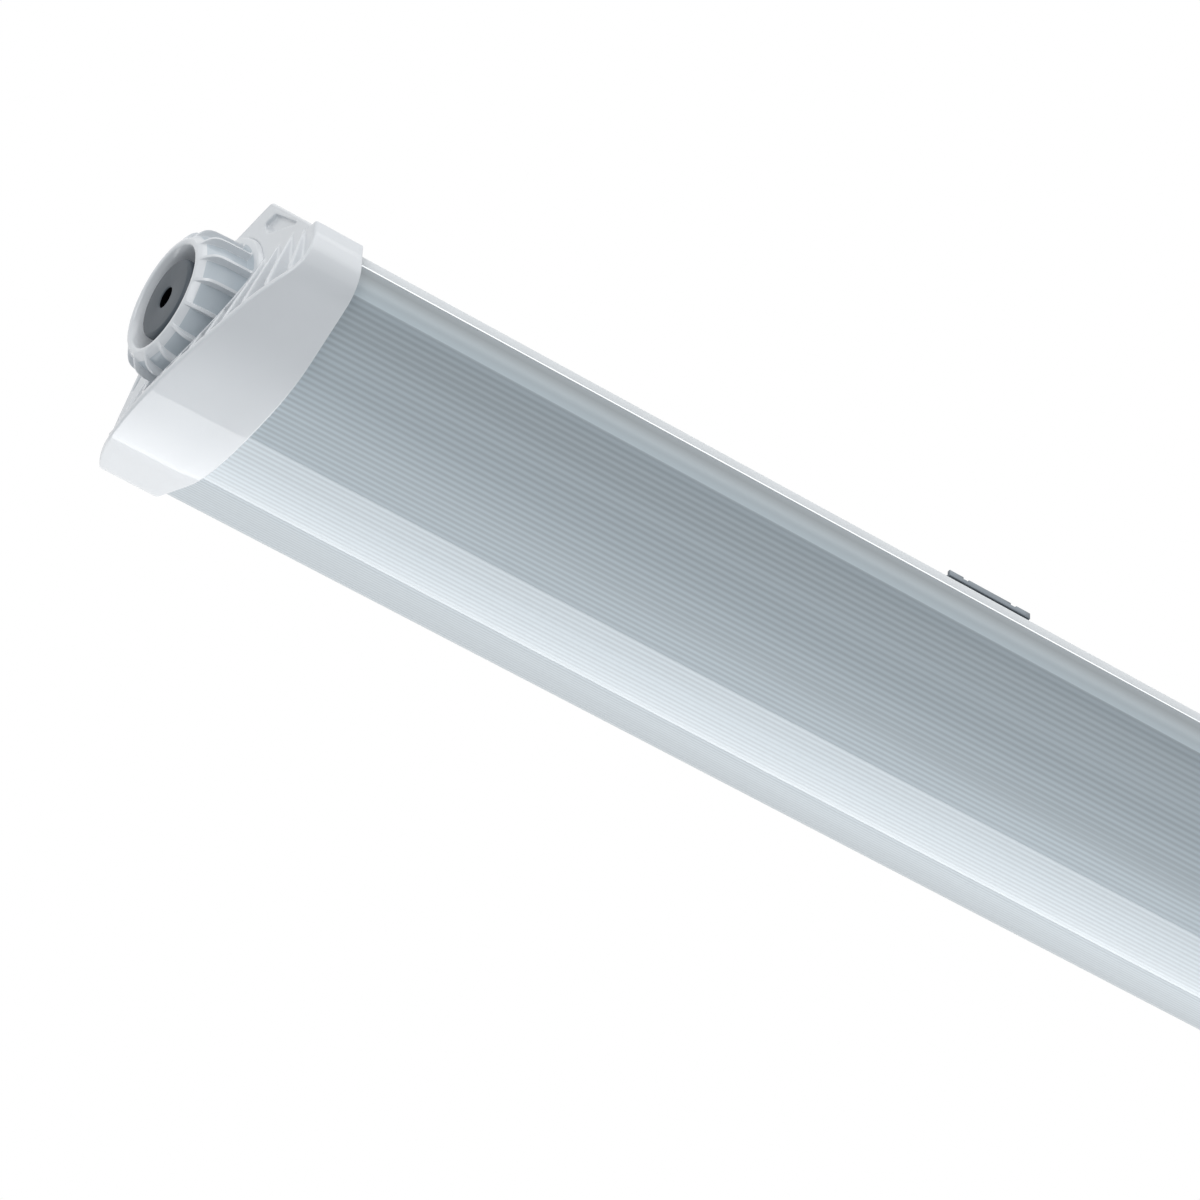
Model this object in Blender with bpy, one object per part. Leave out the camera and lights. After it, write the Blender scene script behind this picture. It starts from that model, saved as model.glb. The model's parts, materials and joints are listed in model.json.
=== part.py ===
"""Vapor tight LED ceiling light: an extruded housing with a ribbed slide-in lens, a moulded cap with
a cable gland on each end, sprung steel ceiling clips, and a gear tray that pulls out with one cap.

Metres, +Z up. X runs along the light, with the cable entry at its -X end. The origin is on the
ceiling, midway along the light, so everything hangs below Z = 0. Heights in a section are counted
from the seam, the level at which the lens meets the housing."""

import math

import bmesh
import bpy
from mathutils import Matrix, Vector

MM = 0.001
FULL_TURN = 2 * math.pi

# Fits that every piece shares
running_gap = 0.3 * MM
overrun = 2.0 * MM
weld_distance = 0.001 * MM

# The whole light
overall_length = 1200.0 * MM
ceiling_gap = 3.4 * MM

# Section of the end cap, which the housing and the lens follow at an inset
cap_half_width = 50.0 * MM
cap_rise = 31.8 * MM
cap_depth = 27.6 * MM
shoulder_run = 24.8 * MM
shoulder_angle = math.radians(50.4)
slope_angle = math.radians(27.6)
slope_run = 31.1 * MM
roof_round = 2.6 * MM
ledge_rise = 0.8 * MM
shoulder_round = 1.1 * MM
side_round = 12.0 * MM
side_room_share = 0.97
floor_round = 40.0 * MM
cap_proud = 3.0 * MM
lens_drop = 1.5 * MM
arc_steps = 5

# End cap, along its own outward direction, counted from its rear edge
cap_overlap = 9.0 * MM
cap_plate_inner = 11.4 * MM
cap_plate_front = 15.0 * MM
cap_reach = 30.3 * MM
cap_side_reach = 15.8 * MM
cap_skin = 1.8 * MM
visor_top = 11.0 * MM
visor_bulge = 1.05
visor_bow_power = 2.3
visor_droop = 9.5 * MM
visor_droop_power = 6
visor_columns = 26
visor_rows = 5
fin_pitch = 6.35 * MM
fin_thickness = 1.1 * MM
fins_each_side = 7
shroud_inner_r = 24.4 * MM
shroud_wall = 1.2 * MM
seat_depth = 0.8 * MM
corner_pocket_depth = 1.3 * MM
boss_inset = 28.0 * MM
boss_r = 3.4 * MM
boss_end = 4.0 * MM
boss_hole_r = 1.5 * MM
boss_hole_end = 10.0 * MM

# Corner pocket of the cap's front plate, as shares of the shoulder's run and of the cap's rise
corner_pocket_shares = ((0.113, 0.786), (0.621, 0.344), (0.165, 0.553), (-0.093, 0.796))
scoop_tip_share = ((-0.044, 0.654),)

# Gland: the threaded spigot of the cap, the knurled nut, the slip ring and the rubber grommet
gland_height = 7.1 * MM
gland_sides = 48
entry_r = 13.0 * MM
spigot_r = 17.0 * MM
spigot_length = 4.6 * MM
thread_pitch = 2.5 * MM
thread_height = 0.9 * MM
nut_thread_height = 0.8 * MM
thread_root_width = 1.1 * MM
thread_crest_width = 0.6 * MM
thread_turns = 0.85
thread_bite = 0.3 * MM
thread_steps = 28
nut_flange_r = 23.9 * MM
nut_flange_thickness = 1.8 * MM
nut_rib_r = 21.6 * MM
nut_flute_r = 19.6 * MM
nut_flute_front_r = 18.0 * MM
nut_bore_r = 18.3 * MM
nut_mouth_r = 16.0 * MM
nut_lip_r = 12.8 * MM
nut_lip_thickness = 1.4 * MM
nut_length = 15.8 * MM
nut_rim = 0.9 * MM
nut_nose = 1.3 * MM
nut_nose_run = 3.2 * MM
nut_ribs = 16
nut_rib_shares = (-0.10, 0.10, 0.17, 0.83)
slip_ring_thickness = 1.1 * MM
slip_ring_inner_r = 12.6 * MM
slip_ring_outer_r = 17.2 * MM
grommet_flange_thickness = 1.2 * MM
grommet_flange_r = 17.2 * MM
grommet_boss_r = 11.5 * MM
grommet_recess = 0.95 * MM
grommet_edge = 0.8 * MM
grommet_tail = 7.0 * MM
pinhole_r = 3.0 * MM
pinhole_lead_in = 0.5 * MM
plug_dimple_depth = 1.0 * MM

# End gasket
gasket_thickness = 1.8 * MM
gasket_width = 4.0 * MM

# Extruded housing
housing_wall = 2.0 * MM
groove_top = 7.4 * MM
groove_inset = 10.4 * MM
strip_top = 4.1 * MM
strip_chamfer = 0.6 * MM
strip_bottom = 0.4 * MM
slot_outer_inset = 4.3 * MM
slot_inner_inset = 6.3 * MM
slot_top = 2.7 * MM
slot_hook = 1.2 * MM
slot_hook_height = 1.6 * MM
skirt_width = 0.6 * MM
skirt_height = 0.5 * MM
lip_inset = 9.0 * MM
lip_bottom = -0.3 * MM
rail_inset = 16.0 * MM
rail_thickness = 1.5 * MM
rail_slot = 1.6 * MM
rail_keeper = 1.0 * MM
rail_keeper_inset = 14.0 * MM

# Ribbed lens
lens_wall = 1.8 * MM
lens_shoulder = 1.8 * MM
rib_pitch = 1.7 * MM
rib_depth = 0.14 * MM
ribs_each_side = 27

# Sprung steel ceiling clip
clip_length = 28.0 * MM
clip_sheet = 1.0 * MM
clip_from_cap = 194.6 * MM
clip_leg_inset = 7.7 * MM
clip_hook_inset = 9.4 * MM
clip_lip_inset = 3.6 * MM
clip_lip_top = 6.5 * MM
clip_notch_width = 1.8 * MM
clip_notch_depth = 0.6 * MM
clip_notch_x = 8.2 * MM
clip_slot_width = 5.4 * MM
clip_slot_length = 12.0 * MM

# Gear tray
tray_sheet = 1.0 * MM
tray_floor = -3.0 * MM
tray_far_gap = 24.0 * MM
tray_ear_half = 7.0 * MM
tray_ear_top = 12.0 * MM
tray_lead_hole_r = 4.0 * MM

# Screws: head radius, head height and shank radius
screw_m3 = (2.8 * MM, 1.8 * MM, 1.2 * MM)
screw_terminal = (1.8 * MM, 1.2 * MM, 1.0 * MM)
end_screw_length = 6.6 * MM
terminal_screw_length = 1.6 * MM
head_land = 0.62
head_edge = 0.55
screw_clearance = 0.4 * MM
screw_sides = 8
cross_width = 0.7 * MM
cross_depth = 0.8 * MM

# LED boards, two end to end in each of two rows under the tray
board_end_gap = 10.0 * MM
board_width = 18.0 * MM
board_thickness = 1.2 * MM
board_y_share = 0.5045
board_gap = 4.0 * MM
board_screw_pitch_share = 1.3
leds_per_board = 18
led_length = 3.5 * MM
led_width = 2.8 * MM
led_height = 0.8 * MM
link_length = 14.0 * MM
link_width = 8.0 * MM
link_height = 2.4 * MM
lead_socket = 3.0 * MM

# Electronics on the tray, placed along the light from the cable end of the extrusion
clamp_from_end = 26.0 * MM
clamp_length = 10.0 * MM
clamp_foot_y = 14.0 * MM
clamp_span = 5.0 * MM
clamp_rise = 8.0 * MM
clamp_thickness = 2.2 * MM
clamp_screw_y = 10.5 * MM
terminal_from_end = 62.0 * MM
terminal_length = 22.0 * MM
terminal_width = 34.0 * MM
terminal_height = 15.0 * MM
terminal_pitch = 10.0 * MM
terminal_hole_r = 2.1 * MM
terminal_hole_depth = 6.0 * MM
terminal_hole_height = 5.0 * MM
terminal_well_r = 2.3 * MM
terminal_well_depth = 3.4 * MM
terminal_poles = 3
driver_from_end = 124.0 * MM
driver_length = 280.0 * MM
driver_width = 30.0 * MM
driver_height = 21.0 * MM
driver_ear = 9.0 * MM
driver_ear_thickness = 1.2 * MM
driver_lead_y = 5.0 * MM
driver_lead_height = 9.0 * MM
earth_from_terminal = 20.0 * MM
earth_y_share = 0.742
lug_r = 3.6 * MM
lug_thickness = 0.8 * MM
wire_r = 0.9 * MM
led_lead_r = 1.3 * MM
wire_points = 14

# Places that follow from the sizes above
cap_roof_half = cap_half_width - shoulder_run
floor_corner_y = cap_half_width - slope_run
strip_half_width = cap_half_width - cap_proud
groove_y = cap_half_width - groove_inset
slot_outer_y = cap_half_width - slot_outer_inset
slot_inner_y = cap_half_width - slot_inner_inset
lip_y = cap_half_width - lip_inset
rail_y = cap_half_width - rail_inset
rail_keeper_y = cap_half_width - rail_keeper_inset
tray_wall_y = rail_y - running_gap
clip_leg_y = cap_half_width - clip_leg_inset
clip_hook_y = cap_half_width - clip_hook_inset
clip_lip_y = cap_half_width - clip_lip_inset
boss_y = cap_half_width - boss_inset
board_y = board_y_share * tray_wall_y
earth_y = earth_y_share * tray_wall_y
seam_z = -(ceiling_gap + cap_rise)
gland_z = seam_z + gland_height
body_length = overall_length - 2 * (cap_reach - cap_overlap)
body_half = body_length / 2
cap_rear_x = body_half - cap_overlap
nut_rear = cap_plate_front - seat_depth + running_gap
nut_front = nut_rear + nut_length
spigot_end = cap_plate_front - seat_depth + spigot_length
flange_front = spigot_end + running_gap + grommet_flange_thickness
slip_ring_rear = flange_front + running_gap
nut_lip_rear = slip_ring_rear + slip_ring_thickness + running_gap
tray_rim = strip_top - running_gap - housing_wall + rail_thickness + 2 * running_gap
tray_top = tray_floor + tray_sheet


def clear_scene():
    for old in list(bpy.data.objects):
        bpy.data.objects.remove(old, do_unlink=True)


def material(name, colour, roughness, metallic=0.0, alpha=1.0, transmission=0.0):
    made = bpy.data.materials.new(name)
    made.use_nodes = True
    shader = made.node_tree.nodes["Principled BSDF"]
    shader.inputs["Base Color"].default_value = (*colour, 1.0)
    shader.inputs["Roughness"].default_value = roughness
    shader.inputs["Metallic"].default_value = metallic
    shader.inputs["Alpha"].default_value = alpha
    shader.inputs["Transmission Weight"].default_value = transmission
    made.diffuse_color = (*colour, alpha)
    return made


def make_object(name, mesh, finish=None):
    obj = bpy.data.objects.new(name, mesh)
    bpy.context.scene.collection.objects.link(obj)
    if finish:
        mesh.materials.clear()
        mesh.materials.append(finish)
    return obj


def mesh_from(name, points, faces, in_triangles=False):
    """A mesh of these points and faces, with its faces turned outwards."""
    mesh = bpy.data.meshes.new(name)
    mesh.from_pydata(points, [], faces)
    shape = bmesh.new()
    shape.from_mesh(mesh)
    if in_triangles:
        bmesh.ops.triangulate(shape, faces=shape.faces)
    bmesh.ops.recalc_face_normals(shape, faces=shape.faces)
    shape.to_mesh(mesh)
    shape.free()
    return mesh


def loft(name, rings, joined=False, in_triangles=False):
    """A skin over rings that have the same number of points, capped at both ends or joined round."""
    count = len(rings[0])
    points = [point for ring in rings for point in ring]
    faces = []
    last = len(rings) if joined else len(rings) - 1
    for row in range(last):
        here = row * count
        there = (row + 1) % len(rings) * count
        for i in range(count):
            j = (i + 1) % count
            faces.append((here + i, here + j, there + j, there + i))
    if not joined:
        faces.append(tuple(range(count)))
        faces.append(tuple(range(len(points) - count, len(points))))
    return mesh_from(name, points, faces, in_triangles)


def prism(name, outline, start, end):
    """A (y, z) outline carried along X from start to end."""
    return loft(name, [[(x, y, z) for y, z in outline] for x in (start, end)])


def block(name, low, high):
    outline = [(low[1], low[2]), (high[1], low[2]), (high[1], high[2]), (low[1], high[2])]
    return prism(name, outline, low[0], high[0])


def ring_points(x, radius, sides, centre_z=0.0, centre_y=0.0):
    turns = [FULL_TURN * i / sides for i in range(sides)]
    return [(x, centre_y + radius * math.cos(t), centre_z + radius * math.sin(t)) for t in turns]


def tube_along_x(name, profile, sides, centre_z=0.0, centre_y=0.0):
    """A closed (x, radius) profile turned about a line along X, leaving its bore open."""
    rings = [ring_points(x, radius, sides, centre_z, centre_y) for x, radius in profile]
    return loft(name, rings, joined=True)


def solid_along_x(name, profile, sides, centre_z=0.0, centre_y=0.0):
    """An open (x, radius) profile turned about a line along X and capped with flat ends."""
    rings = [ring_points(x, radius, sides, centre_z, centre_y) for x, radius in profile]
    return loft(name, rings)


def upright(name, profile, sides, at):
    """An (height, radius) profile turned about a vertical line and capped with flat ends."""
    mesh = solid_along_x(name, profile, sides)
    turn = Matrix.Rotation(-math.pi / 2, 4, "Y")
    mesh.transform(Matrix.Translation(at) @ turn)
    return mesh


def bake(obj):
    """Puts what the object's modifiers make into its mesh, with points that coincide made one."""
    bpy.context.view_layer.update()
    graph = bpy.context.evaluated_depsgraph_get()
    made = bpy.data.meshes.new_from_object(obj.evaluated_get(graph))
    shape = bmesh.new()
    shape.from_mesh(made)
    bmesh.ops.remove_doubles(shape, verts=shape.verts, dist=weld_distance)
    shape.to_mesh(made)
    shape.free()
    obj.modifiers.clear()
    obj.data = made
    return obj


def combine(obj, meshes, operation):
    """Cuts the meshes from the object, or joins them to it, one after another."""
    helpers = []
    for mesh in meshes:
        helper = make_object("helper", mesh)
        helper.hide_render = True
        helper.display_type = "WIRE"
        helpers.append(helper)
        change = obj.modifiers.new(operation.lower(), "BOOLEAN")
        change.operation = operation
        change.solver = "EXACT"
        change.object = helper
    bake(obj)
    for helper in helpers:
        bpy.data.objects.remove(helper, do_unlink=True)
    return obj


def cut(obj, *meshes):
    return combine(obj, meshes, "DIFFERENCE")


def join(obj, *meshes):
    return combine(obj, meshes, "UNION")


def smooth(obj, degrees=35.0):
    obj.data.shade_smooth()
    obj.data.set_sharp_from_angle(angle=math.radians(degrees))


def rounded(corners, closed=True):
    """An outline with round corners, from (y, z, radius) corners."""
    outline = []
    count = len(corners)
    for i, (y, z, radius) in enumerate(corners):
        here = Vector((y, z))
        if radius <= 0 or (not closed and i in (0, count - 1)):
            outline.append((y, z))
            continue
        back = (Vector(corners[i - 1][:2]) - here).normalized()
        ahead = (Vector(corners[(i + 1) % count][:2]) - here).normalized()
        opening = back.angle(ahead)
        centre = here + (back + ahead).normalized() * (radius / math.sin(opening / 2))
        first = here + back * (radius / math.tan(opening / 2)) - centre
        sweep = math.pi - opening
        turned_left = back.x * ahead.y - back.y * ahead.x > 0
        for step in range(arc_steps + 1):
            turn = sweep * step / arc_steps * (-1 if turned_left else 1)
            spoke = Matrix.Rotation(turn, 2) @ first
            outline.append(tuple(centre + spoke))
    return outline


def section_corners(inset):
    """The right half's corners of the cap's section, drawn in by the inset, from roof to floor. The
    lens and its socket, further in than the cap's skin, hang lower than the inset alone sets them."""
    half = cap_half_width - inset
    roof_y = cap_roof_half - inset * math.tan(shoulder_angle / 2)
    roof_z = cap_rise - inset
    ledge_z = strip_top + ledge_rise * (1 - inset / cap_proud)
    ledge_y = roof_y + (roof_z - ledge_z) / math.tan(shoulder_angle)
    floor_y = floor_corner_y - inset * math.tan(slope_angle / 2)
    floor_z = inset - cap_depth - (lens_drop if inset > cap_skin else 0.0)
    side_z = floor_z + (half - floor_y) * math.tan(slope_angle)
    return [
        (roof_y, seam_z + roof_z, max(roof_round - inset, 0.0)),
        (ledge_y, seam_z + ledge_z, 0.0),
        (half, seam_z + ledge_z, max(shoulder_round - inset, 0.0)),
        (half, seam_z + side_z, side_round - inset),
        (floor_y, seam_z + floor_z, floor_round - inset),
    ]


def section(inset):
    """The cap's whole section at an inset, as a closed outline."""
    right = section_corners(inset)
    left = [(-y, z, radius) for y, z, radius in reversed(right)]
    return rounded(right + left)


def lower_path(inset, start_z):
    """The right half of the section at an inset, from start_z down to the middle of the floor."""
    _, _, _, side, floor = section_corners(inset)
    bend = (math.pi / 2 - slope_angle) / 2
    radius = min(side[2], side_room_share * (start_z - side[1]) / math.tan(bend))
    side = (side[0], side[1], radius)
    corners = [(side[0], start_z, 0.0), side, floor, (0.0, floor[1], 0.0)]
    return rounded(corners, closed=False)


def shoulder_path(inset, height):
    """The right half of the section at an inset, from a height on the shoulder to the floor."""
    start = (shoulder_y(inset, height), seam_z + height, 0.0)
    corners = section_corners(inset)
    return rounded([start, *corners[1:], (0.0, corners[-1][1], 0.0)], closed=False)


def shoulder_y(inset, height):
    """How far out the sloping shoulder is at a height above the seam."""
    roof_y, roof_z, _ = section_corners(inset)[0]
    return roof_y + (roof_z - seam_z - height) / math.tan(shoulder_angle)


def floor_height(y):
    """Height of the cap's lower outside at a distance from its middle, from the seam."""
    path = [(py, pz - seam_z) for py, pz in lower_path(0.0, seam_z)]
    y = min(abs(y), cap_half_width - running_gap)
    for (y0, z0), (y1, z1) in zip(path, path[1:]):
        if min(y0, y1) <= y <= max(y0, y1) and y0 != y1:
            return z0 + (z1 - z0) * (y - y0) / (y1 - y0)
    return path[-1][1]


def mirrored(right):
    """A closed outline from its right half, which starts and ends at the middle or near it."""
    left = [(-y, z) for y, z in reversed(right)]
    return right + [point for point in left if abs(point[0]) > 0]


def sheet_outline(path, thickness):
    """A closed outline round a bent sheet, from the line along its middle."""
    sides = ([], [])
    for i, point in enumerate(path):
        here = Vector(point)
        before = (here - Vector(path[i - 1])).normalized() if i else None
        after = (Vector(path[i + 1]) - here).normalized() if i + 1 < len(path) else None
        before = before or after
        after = after or before
        normal = Vector((-(before + after).y, (before + after).x)).normalized()
        reach = thickness / 2 / normal.dot(Vector((-before.y, before.x)))
        sides[0].append(tuple(here + normal * reach))
        sides[1].append(tuple(here - normal * reach))
    return sides[0] + sides[1][::-1]


def helical_ridge(name, root_r, crest_r, first_turn, turns, start_x):
    """A right-hand thread: a four-cornered tooth carried along a helix about the gland's axis."""
    rings = []
    for step in range(thread_steps + 1):
        turn = first_turn + turns * step / thread_steps
        x = start_x + thread_pitch * turn
        corners = (
            (x - thread_root_width / 2, root_r),
            (x - thread_crest_width / 2, crest_r),
            (x + thread_crest_width / 2, crest_r),
            (x + thread_root_width / 2, root_r),
        )
        angle = FULL_TURN * turn
        rings.append([(u, r * math.cos(angle), gland_z + r * math.sin(angle)) for u, r in corners])
    return loft(name, rings, in_triangles=True)


def visor_front(y, drop):
    """How far out the cap's ribbed front stands, at a share of the way down from the visor's top."""
    bow = (min(abs(y), cap_half_width) / cap_half_width) ** visor_bow_power
    reach = cap_reach - (cap_reach - cap_side_reach) * bow
    return cap_plate_front + (reach - cap_plate_front) * (1 - (1 - drop) ** visor_bulge)


def visor_cutter():
    """All that lies in front of the cap: flat above the visor's top, bowed and bulging below it."""
    half = cap_half_width + overrun
    top = seam_z + cap_rise + overrun
    bottom = seam_z - cap_depth - overrun
    far = cap_reach + overrun
    rings = []
    for column in range(visor_columns + 1):
        y = -half * math.cos(math.pi * column / visor_columns)
        foot = floor_height(y)
        share = min(abs(y) / cap_half_width, 1.0)
        brow = visor_top - visor_droop * share**visor_droop_power
        ring = [(far, y, bottom), (far, y, top), (cap_plate_front, y, top)]
        for row in range(visor_rows + 1):
            drop = row / visor_rows
            z = seam_z + brow + (foot - brow) * drop
            ring.append((visor_front(y, drop), y, z))
        ring.append((visor_front(y, 1.0), y, bottom))
        rings.append(ring)
    return loft("visor_cutter", rings, in_triangles=True)


def fin_pockets():
    """The hollows between the fins: the space inside the skin, less the fins and the gland's shroud."""
    far = cap_reach + overrun
    path = shoulder_path(cap_skin, visor_top + running_gap)
    space = make_object("pockets", prism("pockets", mirrored(path), cap_plate_front, far))
    near = cap_plate_front - overrun
    bottom = seam_z - cap_depth - overrun
    top = seam_z + visor_top + overrun
    fins = []
    for i in range(-fins_each_side, fins_each_side + 1):
        y = fin_pitch * i
        low = (near, y - fin_thickness / 2, bottom)
        fins.append(block("fin", low, (far + overrun, y + fin_thickness / 2, top)))
    radius = shroud_inner_r + shroud_wall
    fins.append(
        solid_along_x("shroud", [(near, radius), (far + overrun, radius)], gland_sides, gland_z)
    )
    cut(space, *fins)
    mesh = space.data
    bpy.data.objects.remove(space, do_unlink=True)
    return mesh


def outline_from_shares(shares, side):
    """Points beside the roof's corner, from shares of the shoulder's run and of the cap's rise."""
    outline = []
    for run, rise in shares:
        outline.append((side * (cap_roof_half + shoulder_run * run), seam_z + cap_rise * rise))
    return outline


def corner_pockets():
    """The slot that is sunk in each upper corner of the cap's front plate, with a sloping scoop."""
    made = []
    floor = cap_plate_front - corner_pocket_depth
    front = cap_plate_front + overrun
    for side in (-1, 1):
        a, b, c, d = outline_from_shares(corner_pocket_shares, side)
        tip = outline_from_shares(scoop_tip_share, side)[0]
        points = [(floor, *corner) for corner in (a, b, c, d)]
        points += [(front, *corner) for corner in (a, b, c, d, tip)]
        points.append((cap_plate_front, *tip))
        faces = [
            (0, 1, 2, 3),
            (4, 5, 6, 8, 7),
            (0, 4, 5, 1),
            (1, 5, 6, 2),
            (2, 6, 8, 9),
            (9, 8, 7, 3),
            (3, 7, 4, 0),
            (2, 9, 3),
        ]
        made.append(mesh_from("corner_pocket", points, faces))
    return made


def build_end_cap():
    """The moulded cap: socket, plate, bowed skin with fins, gland recess, spigot and screw bosses."""
    cap = make_object("end_cap", prism("end_cap", section(0.0), 0.0, cap_reach + overrun / 2))
    socket = prism("socket", section(cap_proud - running_gap), -overrun, cap_plate_inner)
    cut(cap, visor_cutter(), socket, fin_pockets(), *corner_pockets())
    seat = cap_plate_front - seat_depth
    recess = [(seat, shroud_inner_r), (cap_reach + 2 * overrun, shroud_inner_r)]
    cut(cap, solid_along_x("recess", recess, gland_sides, gland_z))
    embedded = seat - thread_bite
    spigot = [(embedded, spigot_r), (spigot_end, spigot_r)]
    thread = helical_ridge(
        "spigot_thread",
        spigot_r - thread_bite,
        spigot_r + thread_height,
        0.0,
        thread_turns,
        seat + thread_root_width,
    )
    bosses = []
    for side in (-1, 1):
        profile = [(boss_end, boss_r), (cap_plate_inner + thread_bite, boss_r)]
        bosses.append(solid_along_x("boss", profile, screw_sides, gland_z, side * boss_y))
    join(cap, solid_along_x("spigot", spigot, gland_sides, gland_z), thread, *bosses)
    entry = [(boss_end, entry_r), (spigot_end + overrun, entry_r)]
    holes = [solid_along_x("entry", entry, gland_sides, gland_z)]
    for side in (-1, 1):
        profile = [(boss_end - overrun, boss_hole_r), (boss_hole_end, boss_hole_r)]
        holes.append(solid_along_x("boss_hole", profile, screw_sides, gland_z, side * boss_y))
    cut(cap, *holes)
    return cap


def nut_ring(x, rib_r, flute_r):
    """One ring of the nut's outside: flat-bottomed flutes between its ribs."""
    radii = (rib_r, rib_r, flute_r, flute_r)
    ring = []
    for rib in range(nut_ribs):
        for share, radius in zip(nut_rib_shares, radii):
            angle = FULL_TURN * (rib + share) / nut_ribs
            y = radius * math.cos(angle)
            ring.append((x, y, gland_z + radius * math.sin(angle)))
    return ring


def build_gland_nut():
    flange_front_x = nut_rear + nut_flange_thickness
    mouth_floor = nut_lip_rear + nut_lip_thickness
    nose = nut_front - nut_nose_run / 2
    rings = [
        nut_ring(nut_rear, nut_flange_r, nut_flange_r),
        nut_ring(flange_front_x, nut_flange_r, nut_flange_r),
        nut_ring(flange_front_x + nut_rim / 2, nut_rib_r, nut_flute_r),
        nut_ring(mouth_floor, nut_rib_r, nut_flute_r),
        nut_ring(nut_front - nut_nose_run, nut_rib_r, nut_flute_front_r + nut_rim / 3),
        nut_ring(nose, nut_rib_r - nut_nose, nut_flute_front_r),
        nut_ring(nut_front - nut_rim / 3, nut_mouth_r + nut_nose, nut_mouth_r + nut_nose),
        nut_ring(nut_front, nut_mouth_r + nut_rim, nut_mouth_r + nut_rim),
        nut_ring(nut_front - nut_rim / 4, nut_mouth_r, nut_mouth_r),
        nut_ring(mouth_floor, nut_mouth_r, nut_mouth_r),
        nut_ring(mouth_floor, nut_lip_r, nut_lip_r),
        nut_ring(nut_lip_rear, nut_lip_r, nut_lip_r),
        nut_ring(nut_lip_rear, nut_bore_r, nut_bore_r),
        nut_ring(nut_rear, nut_bore_r, nut_bore_r),
    ]
    nut = make_object("gland_nut", loft("gland_nut", rings, joined=True))
    thread = helical_ridge(
        "nut_thread",
        nut_bore_r + thread_bite,
        nut_bore_r - nut_thread_height,
        -thread_turns / 2,
        thread_turns,
        cap_plate_front - seat_depth + thread_root_width + thread_pitch / 2,
    )
    return join(nut, thread)


def grommet_profile(front_edge_r):
    """Outside of the rubber grommet, from its tail forwards."""
    face = nut_front - grommet_recess
    tail = spigot_end - grommet_tail
    shank_r = entry_r - running_gap
    rear = spigot_end + running_gap
    return [
        (tail, shank_r),
        (rear, shank_r),
        (rear, grommet_flange_r),
        (flange_front, grommet_flange_r),
        (flange_front, grommet_boss_r),
        (face - grommet_edge, grommet_boss_r),
        (face - grommet_edge / 4, grommet_boss_r - grommet_edge / 3),
        (face, front_edge_r),
    ]


def build_grommet():
    """Rubber sealing grommet with a through hole for the cable."""
    face = nut_front - grommet_recess
    profile = grommet_profile(grommet_boss_r - grommet_edge)
    profile += [
        (face, pinhole_r + pinhole_lead_in),
        (face - pinhole_lead_in, pinhole_r),
        (spigot_end - grommet_tail, pinhole_r),
    ]
    return make_object("grommet", tube_along_x("grommet", profile, gland_sides // 2, gland_z))


def build_blind_plug():
    """The same rubber piece without a hole, with a shallow dimple where one could be pierced."""
    face = nut_front - grommet_recess
    profile = grommet_profile(grommet_boss_r - grommet_edge)
    profile += [
        (face, pinhole_r + pinhole_lead_in),
        (face - plug_dimple_depth, pinhole_r - pinhole_lead_in),
    ]
    return make_object("blind_plug", solid_along_x("blind_plug", profile, gland_sides // 2, gland_z))


def build_slip_ring():
    front = slip_ring_rear + slip_ring_thickness
    profile = [
        (slip_ring_rear, slip_ring_inner_r),
        (slip_ring_rear, slip_ring_outer_r),
        (front, slip_ring_outer_r),
        (front, slip_ring_inner_r),
    ]
    return make_object("slip_ring", tube_along_x("slip_ring", profile, gland_sides // 2, gland_z))


def build_end_gasket():
    front = cap_plate_inner - running_gap
    rear = front - gasket_thickness
    gasket = make_object("end_gasket", prism("end_gasket", section(cap_proud), rear, front))
    inner = section(cap_proud + gasket_width)
    return cut(gasket, prism("window", inner, rear - overrun, front + overrun))


def place_end_pieces(name, obj, finish, degrees=35.0):
    """Puts one copy of a cap piece on each end, the cable end being turned half round."""
    obj.data.materials.clear()
    obj.data.materials.append(finish)
    smooth(obj, degrees)
    names = name if isinstance(name, tuple) else (name + "_a", name + "_b")
    obj.name = names[0]
    obj.location = (-cap_rear_x, 0.0, 0.0)
    obj.rotation_euler = (0.0, 0.0, math.pi)
    twin = make_object(names[1], obj.data)
    twin.location = (cap_rear_x, 0.0, 0.0)


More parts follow.
